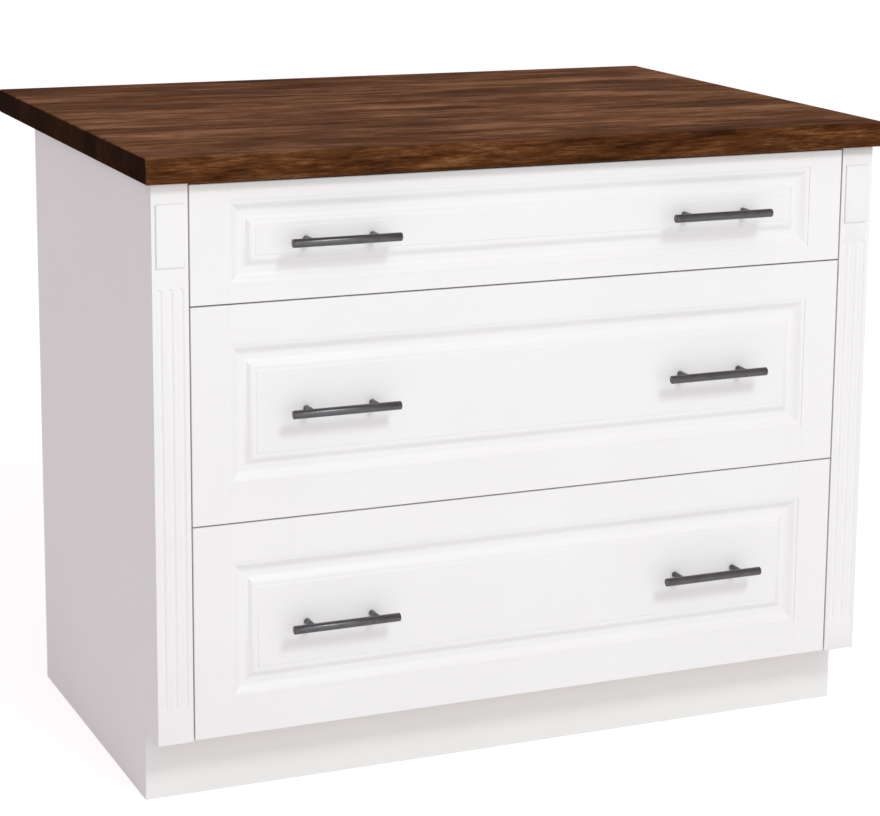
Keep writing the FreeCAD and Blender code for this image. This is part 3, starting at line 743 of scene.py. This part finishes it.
@dataclass
class Pilasters:
    """The fluted posts beside the drawers, with a raised block at their heads."""

    finishes: Finishes
    flutes: int = 3
    flute_radius: float = 5 * MM
    flute_depth: float = 1.6 * MM
    spacing: float = 15 * MM
    foot: float = 48 * MM
    head: float = 27 * MM
    arris: float = 0.6 * MM
    chamfer: float = 1.6 * MM
    round_sides: int = 32

    def build(self) -> None:
        """Model the left post and block, and mirror both to the right."""
        block_low, block_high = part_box("pilaster_blocks")
        low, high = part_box("pilaster_left")
        post = begin("pilaster_left")
        add_block(low, high)
        close()
        carve(post, self.cutter(low, high, block_low.z - self.head))
        ease(post, self.arris, sharper_than=40)
        paint, material = self.finishes.paint, self.finishes.painted[Grain.Z]
        twin = duplicate(post, "pilaster_right", Vector(), mirrored=True)
        hand_over(post, "pilaster_left", paint, material, "cabinet")
        hand_over(twin, "pilaster_right", paint, material, "cabinet")
        self.blocks(block_low, block_high, low, high)

    def cutter(self, low: Vector, high: Vector, top: float) -> bpy.types.Object:
        """Round-ended fingers in the shape of the flutes.

        Args:
            low: lowest corner of the post.
            high: highest corner of the post.
            top: upper end of the flutes.

        Returns:
            One object that holds all the fingers.
        """
        fingers = begin("flute_fingers")
        line = low.y - self.flute_radius + self.flute_depth
        bottom = low.z + self.foot + self.flute_radius
        rise = Vector((0, 0, top - self.flute_radius - bottom))
        first = (low.x + high.x) / 2 - self.spacing * (self.flutes - 1) / 2
        for number in range(self.flutes):
            centre = Vector((first + number * self.spacing, line, bottom))
            bpy.ops.mesh.primitive_uv_sphere_add(
                segments=self.round_sides, ring_count=self.round_sides // 2, radius=self.flute_radius, location=centre
            )
            half = self.spacing / 2
            choose(
                Element.FACE,
                lambda middle, normal: middle.z > centre.z + TINY and abs(middle.x - centre.x) < half,
            )
            extrude(rise)
        close()
        return fingers

    def blocks(self, low: Vector, high: Vector, post_low: Vector, post_high: Vector) -> None:
        """Model both raised blocks as one piece."""
        width = post_high.x - post_low.x - 2 * (low.x - post_low.x)
        piece = begin("block_left")
        add_block(low, Vector((low.x + width, high.y, high.z)))
        choose(Element.EDGE, lambda middle, along: middle.y < low.y + TINY)
        bpy.ops.mesh.bevel(offset=self.chamfer, segments=3, affect="EDGES")
        close()
        smooth(piece)
        twin = duplicate(piece, "block_right", Vector(), mirrored=True)
        both = join([piece, twin], "pilaster_blocks_pair")
        material = self.finishes.painted[Grain.Z]
        hand_over(both, "pilaster_blocks", self.finishes.paint, material, "cabinet")


# -------------------------------------------------------------------------------------------- drawers


def ogee(steps: int) -> list[tuple[float, float]]:
    """A gentle S curve, as shares of its width and of its height, without its starting point."""
    shares = [number / steps for number in range(1, steps + 1)]
    return [(share, share * share * (3 - 2 * share)) for share in shares]


@dataclass
class Member:
    """Where one stile or rail lies: its outer edge, its two directions and its spans."""

    outer: Vector
    along: Vector
    inward: Vector
    flat: float
    start: float
    finish: float
    mitre_start: float
    mitre_finish: float

    def point(self, along: float, inward: float, depth: float) -> Vector:
        """A point of the member, by its distances along, inwards and behind the face."""
        return self.outer + self.along * along + self.inward * inward + Y_AXIS * depth

    def local(self, point: Vector) -> tuple[float, float, float]:
        """The three distances of a point."""
        step = point - self.outer
        return step.dot(self.along), step.dot(self.inward), step.dot(Y_AXIS)


@dataclass
class DrawerFront:
    """A framed front: stiles and rails with a moulded inner edge round a raised panel."""

    finishes: Finishes
    drawer: str
    thickness: float = 20 * MM
    edge_radius: float = 1.2 * MM
    edge_steps: int = 4
    quirk: float = 1.2 * MM
    moulding_width: float = 16 * MM
    moulding_depth: float = 7.6 * MM
    moulding_ledge: float = 2.5 * MM
    moulding_steps: int = 12
    lip: float = 0.4 * MM
    groove_depth: float = 9 * MM
    tongue: float = 6 * MM
    tongue_play: float = 1 * MM
    panel_play: float = 0.4 * MM
    bed_width: float = 6 * MM
    riser_width: float = 12 * MM
    riser_steps: int = 10
    border_width: float = 4.5 * MM
    step_height: float = 0.8 * MM
    step_width: float = 0.4 * MM
    field_depth: float = 1.5 * MM
    arris: float = 0.3 * MM
    joint_arris: float = 0.45 * MM

    def build(self) -> None:
        """Model the four members of the frame and the panel."""
        low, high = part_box(f"{self.drawer}_stile_left")
        rail_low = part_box(f"{self.drawer}_rail_bottom")[1].z
        rail_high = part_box(f"{self.drawer}_rail_top")[0].z
        face = low.y
        stile = high.x - low.x - self.moulding_width
        rail = rail_low - low.z - self.moulding_width
        across = -low.x - stile
        inside = (low.z + rail, high.z - rail)
        self.member(
            "stile_left",
            Member(Vector((low.x, face, 0)), Z_AXIS, X_AXIS, stile, low.z, high.z, *inside),
            Grain.Z,
        )
        self.member(
            "stile_right",
            Member(Vector((-low.x, face, 0)), Z_AXIS, -X_AXIS, stile, low.z, high.z, *inside),
            Grain.Z,
        )
        ends = (-across, across)
        self.member(
            "rail_bottom",
            Member(Vector((0, face, low.z)), X_AXIS, Z_AXIS, rail, *ends, *ends),
            Grain.X,
        )
        self.member(
            "rail_top",
            Member(Vector((0, face, high.z)), X_AXIS, -Z_AXIS, rail, *ends, *ends),
            Grain.X,
        )
        opening = across - self.moulding_width
        self.panel(Vector((-opening, face, rail_low)), Vector((opening, face, rail_high)))

    def profile(self) -> list[tuple[float, float]]:
        """The moulding as (inward from the flat, behind the face), from the flat to the panel."""
        fall = self.moulding_depth - self.quirk
        ledge = self.moulding_ledge
        swept = [
            (ledge + (self.moulding_width - ledge) * share, self.quirk + fall * drop)
            for share, drop in ogee(self.moulding_steps)
        ]
        return [(ledge, self.quirk), *swept]

    def member(self, word: str, lie: Member, grain: Grain) -> None:
        """Model one stile or rail.

        Args:
            word: the end of its CAD node's name.
            lie: where it lies.
            grain: which way its fibres run.
        """
        node = f"{self.drawer}_{word}"
        piece = begin(node)
        corners = lie.point(lie.start, 0, 0), lie.point(lie.finish, lie.flat, self.thickness)
        low = Vector(map(min, *corners))
        high = Vector(map(max, *corners))
        add_block(low, high)
        slice_at(lie.point(0, 0, self.quirk), Y_AXIS)
        for cut in (lie.mitre_start, lie.mitre_finish):
            if lie.start + TINY < cut < lie.finish - TINY:
                slice_at(lie.point(cut, 0, 0), lie.along)

        def inner(middle: Vector, normal: Vector) -> bool:
            """Whether a face is on the inner edge, behind the quirk and between the mitres."""
            along, _, depth = lie.local(middle)
            return (
                normal.dot(lie.inward) > FACING
                and lie.mitre_start < along < lie.mitre_finish
                and depth > self.quirk + TINY
            )

        choose(Element.FACE, inner)
        half = (lie.mitre_finish - lie.mitre_start) / 2
        centre = lie.point((lie.mitre_start + lie.mitre_finish) / 2, 0, 0)
        before = (0.0, self.quirk)
        for inward, depth in self.profile():
            extrude(lie.inward * (inward - before[0]))
            shrink = (half - inward) / (half - before[0])
            scale = Vector((1, 1, 1)) + Vector(map(abs, lie.along)) * (shrink - 1)
            bpy.ops.transform.resize(value=scale, center_override=centre)
            front = depth - TINY
            at = lie.flat + inward
            choose(
                Element.VERTEX,
                lambda point, normal: abs(lie.local(point)[1] - at) < TINY and lie.local(point)[2] < front,
            )
            bpy.ops.transform.translate(value=Y_AXIS * (depth - before[1]))
            choose(
                Element.FACE,
                lambda middle, normal: normal.dot(lie.inward) > FACING and abs(lie.local(middle)[1] - at) < TINY,
            )
            before = (inward, depth)
        groove = self.moulding_depth + self.lip
        for depth in (groove, groove + self.tongue):
            slice_at(lie.point(0, 0, depth), Y_AXIS, everywhere=False)
            choose(
                Element.FACE,
                lambda middle, normal: normal.dot(lie.inward) > FACING
                and abs(lie.local(middle)[1] - lie.flat - self.moulding_width) < TINY,
            )
        choose(
            Element.FACE,
            lambda middle, normal: normal.dot(lie.inward) > FACING
            and abs(lie.local(middle)[1] - lie.flat - self.moulding_width) < TINY
            and groove < lie.local(middle)[2] < groove + self.tongue,
        )
        extrude(-lie.inward * self.groove_depth)
        self.round_outside(lie)
        self.edge_joints(lie)
        close()
        ease(piece, self.arris, 1, 60)
        finishes = self.finishes
        hand_over(piece, node, finishes.paint, finishes.painted[grain], self.drawer)

    def round_outside(self, lie: Member) -> None:
        """Round the front edges of a member that lie on the outside of the whole front."""
        stile = lie.mitre_start > lie.start + TINY

        def outside(middle: Vector, direction: Vector) -> bool:
            """Whether an edge is on the face and on the outside."""
            along, inward, depth = lie.local(middle)
            if depth > TINY:
                return False
            if inward < TINY:
                return True
            return stile and (along < lie.start + TINY or along > lie.finish - TINY)

        choose(Element.EDGE, outside)
        bpy.ops.mesh.bevel(offset=self.edge_radius, segments=self.edge_steps, affect="EDGES")

    def edge_joints(self, lie: Member) -> None:
        """Break the front edges of a member where stile and rail meet."""
        stile = lie.mitre_start > lie.start + TINY

        def joint(middle: Vector, direction: Vector) -> bool:
            """Whether an edge is on the face and on the joint."""
            along, inward, depth = lie.local(middle)
            if depth > TINY or not TINY < inward < lie.flat + TINY:
                return False
            if stile:
                return inward > lie.flat - TINY and not lie.mitre_start < along < lie.mitre_finish
            return along < lie.start + TINY or along > lie.finish - TINY

        choose(Element.EDGE, joint)
        bpy.ops.mesh.bevel(offset=self.joint_arris, segments=1, affect="EDGES")

    def panel(self, low: Vector, high: Vector) -> None:
        """Model the raised panel.

        Args:
            low: lowest corner of the opening, on the face.
            high: highest corner of the opening, on the face.
        """
        node = f"{self.drawer}_panel"
        piece = begin(node)
        groove = self.moulding_depth + self.lip
        play = Vector((self.panel_play, 0, self.panel_play))
        add_block(low + play + Y_AXIS * groove, high - play + Y_AXIS * self.thickness)
        tongue_back = low.y + groove + self.tongue
        slice_at(Vector((0, tongue_back, 0)), Y_AXIS)
        choose(Element.FACE, lambda middle, normal: abs(normal.y) < TINY and middle.y < tongue_back)
        fatten(self.groove_depth - self.tongue_play + self.panel_play)
        choose(
            Element.FACE,
            lambda middle, normal: normal.y < -FACING and abs(middle.x) < TINY + (high.x - low.x) / 4
            and low.z < middle.z < high.z and middle.y < tongue_back,
        )
        bpy.ops.mesh.inset(thickness=self.bed_width, depth=0, use_even_offset=True)
        rise = groove - self.field_depth - self.step_height
        before = 0.0
        for _, swept in ogee(self.riser_steps):
            bpy.ops.mesh.inset(
                thickness=self.riser_width / self.riser_steps, depth=rise * (swept - before), use_even_offset=True
            )
            before = swept
        bpy.ops.mesh.inset(thickness=self.border_width, depth=0, use_even_offset=True)
        bpy.ops.mesh.inset(thickness=self.step_width, depth=self.step_height, use_even_offset=True)
        close()
        ease(piece, self.arris, 1, 40)
        finishes = self.finishes
        hand_over(piece, node, finishes.paint, finishes.painted[Grain.X], self.drawer)


@dataclass
class Handles:
    """Two bar handles on a drawer front: round bars with chamfered ends on two round posts."""

    finishes: Finishes
    drawer: str
    length: float = 156 * MM
    spacing: float = 96 * MM
    chamfer: float = 1 * MM
    post_radius: float = 4.5 * MM
    sides: int = 48

    def build(self) -> None:
        """Model one bar and one pair of posts, and mirror them to the other side."""
        low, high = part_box(f"{self.drawer}_handle_bars")
        posts_low, posts_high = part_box(f"{self.drawer}_handle_posts")
        axis = (low + high) / 2
        radius = (high.z - low.z) / 2
        centre = high.x - self.length / 2
        bar = begin("bar_right")
        start = Vector((centre - self.length / 2, axis.y, axis.z))
        finish = Vector((centre + self.length / 2, axis.y, axis.z))
        add_rod(radius, start, finish, self.sides)
        ends = (start.x, finish.x)
        choose(Element.EDGE, lambda middle, along: min(abs(middle.x - end) for end in ends) < TINY)
        bpy.ops.mesh.bevel(offset=self.chamfer, segments=3, affect="EDGES")
        close()
        smooth(bar)
        posts = begin("posts_right")
        for side in (-1, 1):
            x = centre + side * self.spacing / 2
            add_rod(
                self.post_radius,
                Vector((x, posts_low.y, axis.z)),
                Vector((x, posts_high.y, axis.z)),
                self.sides,
            )
        close()
        ease(posts, 0.3 * MM, 2, 60)
        finishes = self.finishes
        for piece, word in ((bar, "handle_bars"), (posts, "handle_posts")):
            twin = duplicate(piece, f"{word}_left", Vector(), mirrored=True)
            both = join([piece, twin], word)
            hand_over(both, f"{self.drawer}_{word}", finishes.graphite, finishes.coated, self.drawer)


@dataclass
class DrawerBox:
    """The walls of a drawer, with the bottom let into them."""

    finishes: Finishes
    drawer: str
    wall: float = 15 * MM
    housing: float = 6 * MM
    play: float = 0.3 * MM
    arris: float = 1.2 * MM

    def build(self) -> None:
        """Model the four walls and the bottom."""
        bottom_low, bottom_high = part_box(f"{self.drawer}_bottom")
        play = Vector((self.play, self.play, 0))
        housing = (bottom_low - play, bottom_high + play)
        self.board("side_left", housing, X_AXIS, Grain.Y, Grain.X)
        self.board("side_right", housing, -X_AXIS, Grain.Y, Grain.X)
        self.board("box_front", housing, Y_AXIS, Grain.X, Grain.Y)
        self.board("box_back", housing, -Y_AXIS, Grain.X, Grain.Y)
        piece = begin("bottom")
        add_block(bottom_low, bottom_high)
        close()
        ease(piece, 0.4 * MM)
        self.give(piece, "bottom", Grain.X, Grain.Z)

    def board(self, word: str, housing: Box, inward: Vector, grain: Grain, across: Grain) -> None:
        """Model a wall with the housing for the bottom cut into its inner face.

        Args:
            word: the end of its CAD node's name.
            housing: corners of the space that the bottom takes.
            inward: which way the wall faces the inside of the drawer.
            grain: which way its fibres run.
            across: the axis of its thickness.
        """
        low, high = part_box(f"{self.drawer}_{word}")
        piece = begin(word)
        add_block(low, high)
        along = X_AXIS if abs(inward.y) > FACING else Y_AXIS
        for corner in housing:
            slice_at(corner, Z_AXIS)
            slice_at(corner, along)
        start, finish = housing
        inner = (low if inward.dot(high - low) < 0 else high).dot(Vector(map(abs, inward)))
        choose(
            Element.FACE,
            lambda middle, normal: normal.dot(inward) > FACING
            and abs(middle.dot(Vector(map(abs, inward))) - inner) < TINY
            and start.z < middle.z < finish.z
            and start.dot(along) < middle.dot(along) < finish.dot(along),
        )
        extrude(-inward * self.housing)
        close()
        ease(piece, self.arris, 3)
        self.give(piece, word, grain, across)

    def give(self, piece: bpy.types.Object, word: str, grain: Grain, across: Grain) -> None:
        """Hand a board over with its ply finish."""
        finishes = self.finishes
        hand_over(piece, f"{self.drawer}_{word}", finishes.ply, finishes.board(grain, across), self.drawer)


@dataclass
class Slides:
    """Telescopic slides: folded steel channels nested in each other on both sides of a drawer."""

    finishes: Finishes
    metal: float = 1.2 * MM
    play: float = 0.3 * MM
    tip: float = 1.5 * MM
    height: float = 45 * MM
    lip: float = 2.2 * MM
    bend: float = 0.5 * MM

    def build(self, drawers: list[str]) -> None:
        """Model the members of every drawer's slides."""
        box_side = -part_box("slide_cabinet_members")[0].x
        fixed = []
        for drawer in drawers:
            low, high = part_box(f"{drawer}_runners")
            middle = (low.z + high.z) / 2
            near = box_side - (self.room(drawer) - self.tip)
            step = self.metal + self.play
            span = (low.y, high.y)
            fixed.append(self.pair(f"{drawer}_fixed", box_side, near, self.height, middle, span))
            carried = self.pair(f"{drawer}_carried", box_side - step, near, self.height - 2 * step, middle, span)
            body = drawer.replace("drawer", "slide")
            self.give(carried, f"{drawer}_slide_middles", body)
            drawer_wall = -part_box(f"{drawer}_side_left")[0].x
            runner = self.pair(
                f"{drawer}_runner", drawer_wall, box_side - 2 * step, self.height - 4 * step, middle, span
            )
            self.give(runner, f"{drawer}_runners", drawer)
        self.give(join(fixed, "fixed_members"), "slide_cabinet_members", "cabinet")

    def room(self, drawer: str) -> float:
        """The side room between the box side and the drawer wall."""
        return -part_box("slide_cabinet_members")[0].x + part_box(f"{drawer}_side_left")[0].x

    def pair(
        self, name: str, web: float, tips: float, height: float, middle: float, span: tuple[float, float]
    ) -> bpy.types.Object:
        """Fold one channel for the right side and mirror it to the left.

        Args:
            name: name of the pair.
            web: where the back of the web is along X.
            tips: where the flanges end along X.
            height: over the flanges.
            middle: height of the slide's middle.
            span: its two ends along Y.

        Returns:
            Both channels as one object.
        """
        channel = begin(name)
        away = math.copysign(1, tips - web)
        half = height / 2
        bpy.ops.mesh.primitive_plane_add(
            size=1,
            location=(web, sum(span) / 2, middle),
            rotation=(0, math.pi / 2, 0),
        )
        bpy.ops.transform.resize(
            value=(1, span[1] - span[0], height), center_override=(web, sum(span) / 2, middle)
        )
        choose(Element.EDGE, lambda point, along: abs(along.y) > FACING)
        extrude(Vector((tips - web, 0, 0)))
        for side in (-1, 1):
            choose(
                Element.EDGE,
                lambda point, along: abs(along.y) > FACING
                and abs(point.x - tips) < TINY
                and abs(point.z - middle - side * half) < TINY,
            )
            extrude(Vector((0, 0, -side * self.lip)))
        close()
        self.face_out(channel, middle, away)
        modify(channel, "SOLIDIFY", thickness=self.metal, offset=-1, use_even_offset=True)
        ease(channel, self.bend, 2)
        twin = duplicate(channel, f"{name}_left", Vector(), mirrored=True)
        return join([channel, twin], name)

    def face_out(self, channel: bpy.types.Object, middle: float, away: float) -> None:
        """Turn the folded sheet's faces to the outside of the channel."""
        web = next(polygon for polygon in channel.data.polygons if abs(polygon.normal.x) > FACING
                   and abs(polygon.center.z - middle) < TINY)
        if web.normal.x * away > 0:
            bpy.ops.object.mode_set(mode="EDIT")
            bpy.ops.mesh.select_all(action="SELECT")
            bpy.ops.mesh.flip_normals()
            bpy.ops.object.mode_set(mode="OBJECT")

    def give(self, piece: bpy.types.Object, node: str, body: str) -> None:
        """Hand a set of members over with its plating."""
        hand_over(piece, node, self.finishes.zinc, self.finishes.plated, body)


@dataclass
class Screws:
    """Pan head screws with a cross recess, modelled once and copied to their places."""

    finishes: Finishes
    shank_radius: float = 2 * MM
    head_radius: float = 4 * MM
    head_height: float = 2.5 * MM
    recess: float = 1.3 * MM
    slot_width: float = 1.1 * MM
    edge: float = 28 * MM
    side: float = 8 * MM
    handle_bite: float = 42.5 * MM
    front_bite: float = 29 * MM
    worktop_bite: float = 42 * MM
    worktop_side: float = 120 * MM
    handle_length: float = 156 * MM
    handle_spacing: float = 96 * MM
    sides: int = 32

    def build(self, drawers: list[str]) -> None:
        """Model the screws of the worktop and of every drawer."""
        for drawer in drawers:
            self.drawer_screws(drawer)
        self.worktop_screws()

    def screw(self, name: str, bite: float, seat: Vector, way: Vector) -> bpy.types.Object:
        """Model one screw.

        Args:
            name: name of the screw.
            bite: length of its shank.
            seat: the middle of its head's seat.
            way: the direction that its shank runs.

        Returns:
            The screw.
        """
        piece = begin(name)
        add_rod(self.head_radius, seat - way * self.head_height, seat, self.sides)
        outer = (seat - way * self.head_height).dot(way)
        choose(Element.EDGE, lambda middle, along: abs(middle.dot(way) - outer) < TINY)
        bpy.ops.mesh.bevel(offset=self.head_height * 0.55, segments=4, affect="EDGES")
        choose(
            Element.FACE,
            lambda middle, normal: normal.dot(way) > FACING and abs((middle - seat).dot(way)) < TINY,
        )
        bpy.ops.mesh.inset(thickness=self.head_radius - self.shank_radius)
        extrude(way * (bite - self.shank_radius))
        extrude(way * self.shank_radius)
        bpy.ops.transform.resize(value=(0.2, 0.2, 0.2), center_override=seat + way * bite)
        close()
        cutter = begin("cross_bit")
        top = seat - way * self.head_height
        for flat in (X_AXIS, Z_AXIS if abs(way.y) > FACING else Y_AXIS):
            other = way.cross(flat)
            reach = flat * self.head_radius * 0.55 + Vector(map(abs, other)) * self.slot_width / 2
            depth = way * self.recess
            corners = (top - depth - reach, top + depth + reach)
            add_block(Vector(map(min, *corners)), Vector(map(max, *corners)))
        close()
        carve(piece, cutter)
        smooth(piece)
        return piece

    def drawer_screws(self, drawer: str) -> None:
        """Copy the handle screws and the front screws to their places in one drawer."""
        wall_low, wall_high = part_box(f"{drawer}_box_front")
        bars_low, bars_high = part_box(f"{drawer}_handle_bars")
        seat = wall_high.y
        height = (bars_low.z + bars_high.z) / 2
        centre = bars_high.x - self.handle_length / 2
        place = Vector((centre - self.handle_spacing / 2, seat, height))
        first = self.screw("handle_screw", self.handle_bite, place, -Y_AXIS)
        found = [first]
        for step in (self.handle_spacing, -2 * centre, self.handle_spacing - 2 * centre):
            found.append(duplicate(first, "handle_screw_copy", Vector((step, 0, 0))))
        across = wall_high.x - self.side
        low, high = wall_low.z + self.edge, wall_high.z - self.edge
        second = self.screw("front_screw", self.front_bite, Vector((across, seat, low)), -Y_AXIS)
        found.append(second)
        for x, z in ((-2 * across, 0), (0, high - low), (-2 * across, high - low)):
            found.append(duplicate(second, "front_screw_copy", Vector((x, 0, z))))
        both = join(found, f"{drawer}_screw_set")
        hand_over(both, f"{drawer}_screws", self.finishes.zinc, self.finishes.plated, drawer)

    def worktop_screws(self) -> None:
        """Copy the screws that hold the worktop down to the four corners of their box."""
        low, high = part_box("worktop_screws")
        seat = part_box("top_stretchers")[0].z
        inset = self.head_radius
        first = self.screw(
            "worktop_screw", self.worktop_bite, Vector((low.x + inset, low.y + inset, seat)), Z_AXIS
        )
        across, deep = high.x - low.x - 2 * inset, high.y - low.y - 2 * inset
        found = [first]
        for step in (Vector((across, 0, 0)), Vector((0, deep, 0)), Vector((across, deep, 0))):
            found.append(duplicate(first, "worktop_screw_copy", step))
        hand_over(
            join(found, "worktop_screw_set"), "worktop_screws", self.finishes.zinc, self.finishes.plated, "cabinet"
        )


# --------------------------------------------------------------------------------------------- studio


@dataclass(frozen=True)
class Viewpoint:
    """Where the picture is taken from: to the left of the island, a little above it, with a long lens."""

    place: Colour = (-1.4918, -3.56845, 1.3911)
    yaw: float = 0.4198
    pitch: float = 0.1971
    roll: float = 0.0116
    lens: float = 104.89
    shift: tuple[float, float] = (-0.0545, -0.1273)

    def build(self) -> None:
        """Create the camera."""
        camera = bpy.data.objects.new("camera", bpy.data.cameras.new("camera"))
        bpy.context.scene.collection.objects.link(camera)
        aim = Matrix.Rotation(-self.yaw, 4, "Z")
        aim @= Matrix.Rotation(math.pi / 2 - self.pitch, 4, "X")
        aim @= Matrix.Rotation(self.roll, 4, "Z")
        camera.matrix_world = Matrix.Translation(self.place) @ aim
        camera.data.lens = self.lens
        camera.data.shift_x, camera.data.shift_y = self.shift
        bpy.context.scene.camera = camera


@dataclass(frozen=True)
class Lamp:
    """A round soft lamp that shines on the middle of the island's front."""

    name: str
    azimuth: float
    height: float
    size: float
    power: float
    distance: float = 6.0
    colour: Colour = (0.895, 1.0, 0.95)
    target: Colour = (0.0, -0.377, 0.5)

    def build(self) -> None:
        """Hang the lamp at its angles, in degrees to the right of and above the front."""
        light = bpy.data.lights.new(self.name, "AREA")
        light.shape = "DISK"
        light.size = self.size
        light.energy = self.power
        light.color = self.colour
        lamp = bpy.data.objects.new(self.name, light)
        bpy.context.scene.collection.objects.link(lamp)
        azimuth, height = math.radians(self.azimuth), math.radians(self.height)
        level = math.cos(height)
        towards = Vector((math.sin(azimuth) * level, -math.cos(azimuth) * level, math.sin(height)))
        lamp.location = Vector(self.target) + towards * self.distance
        lamp.rotation_euler = (-towards).to_track_quat("-Z", "Y").to_euler()


@dataclass(frozen=True)
class Studio:
    """A pale floor, an even pale surrounding, a broad lamp in front and a smaller one above it."""

    floor_reach: float = 14.0
    floor_colour: Colour = (0.85, 0.868, 0.865)
    floor_lift: float = 0.53
    surround: Colour = (0.589, 0.522, 0.547)
    lamps: tuple[Lamp, ...] = (
        Lamp("high_lamp", azimuth=9, height=43, size=1.3, power=103),
        Lamp("broad_lamp", azimuth=4, height=10, size=5.2, power=99),
    )

    def build(self) -> None:
        """Create the floor, the surroundings and the lamps."""
        self.floor()
        self.surroundings()
        for lamp in self.lamps:
            lamp.build()

    def floor(self) -> None:
        """Lay the floor, which the camera sees near white, with the island's shadow on it."""
        bpy.ops.object.select_all(action="DESELECT")
        bpy.ops.mesh.primitive_plane_add(size=2 * self.floor_reach, location=(0, 0, 0))
        floor = bpy.context.object
        floor.name = "floor"
        sheet = Sheet("pale_floor")
        path = sheet.add("ShaderNodeLightPath")
        seen = sheet.sum("MAXIMUM", path.outputs["Is Camera Ray"], path.outputs["Is Glossy Ray"])
        seen = sheet.sum("MAXIMUM", seen, path.outputs["Is Transmission Ray"])
        cloud = sheet.noise(sheet.place, 3, 2)
        tone = sheet.blend(cloud, self.floor_colour, tuple(0.985 * part for part in self.floor_colour))
        floor.data.materials.append(
            sheet.finish(
                Base_Color=tone,
                Roughness=0.8,
                Emission_Color=(1, 1, 1, 1),
                Emission_Strength=sheet.sum("MULTIPLY", seen, self.floor_lift),
            )
        )

    def surroundings(self) -> None:
        """Light the scene evenly from all round, and show white behind the island."""
        world = bpy.data.worlds.new("surroundings")
        bpy.context.scene.world = world
        world.use_nodes = True
        tree = world.node_tree
        tree.nodes.clear()
        path = tree.nodes.new("ShaderNodeLightPath")
        seen = tree.nodes.new("ShaderNodeMath")
        seen.operation = "MAXIMUM"
        tree.links.new(path.outputs["Is Camera Ray"], seen.inputs[0])
        tree.links.new(path.outputs["Is Transmission Ray"], seen.inputs[1])
        mix = tree.nodes.new("ShaderNodeMix")
        mix.data_type = "RGBA"
        mix.inputs[6].default_value = (*self.surround, 1)
        mix.inputs[7].default_value = (1, 1, 1, 1)
        background = tree.nodes.new("ShaderNodeBackground")
        output = tree.nodes.new("ShaderNodeOutputWorld")
        tree.links.new(seen.outputs[0], mix.inputs[0])
        tree.links.new(mix.outputs[2], background.inputs["Color"])
        tree.links.new(background.outputs[0], output.inputs["Surface"])


# ----------------------------------------------------------------------------------------------- main


def corners(found: Box) -> list[list[float]]:
    """A box as plain lists of numbers."""
    return [list(corner) for corner in found]


def main() -> None:
    """Load the frame, build every piece of the island and the studio round it."""
    logging.basicConfig(level=logging.INFO, format="%(message)s")
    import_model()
    finishes = Finishes()
    drawers = ["bottom_drawer", "middle_drawer", "top_drawer"]
    Worktop(finishes).build()
    Carcass(finishes).build()
    Pilasters(finishes).build()
    for drawer in drawers:
        DrawerFront(finishes, drawer).build()
        Handles(finishes, drawer).build()
        DrawerBox(finishes, drawer).build()
    Slides(finishes).build(drawers)
    Screws(finishes).build(drawers)
    Studio().build()
    Viewpoint().build()
    bpy.context.scene.view_settings.view_transform = "Standard"


if __name__ == "__main__":
    main()
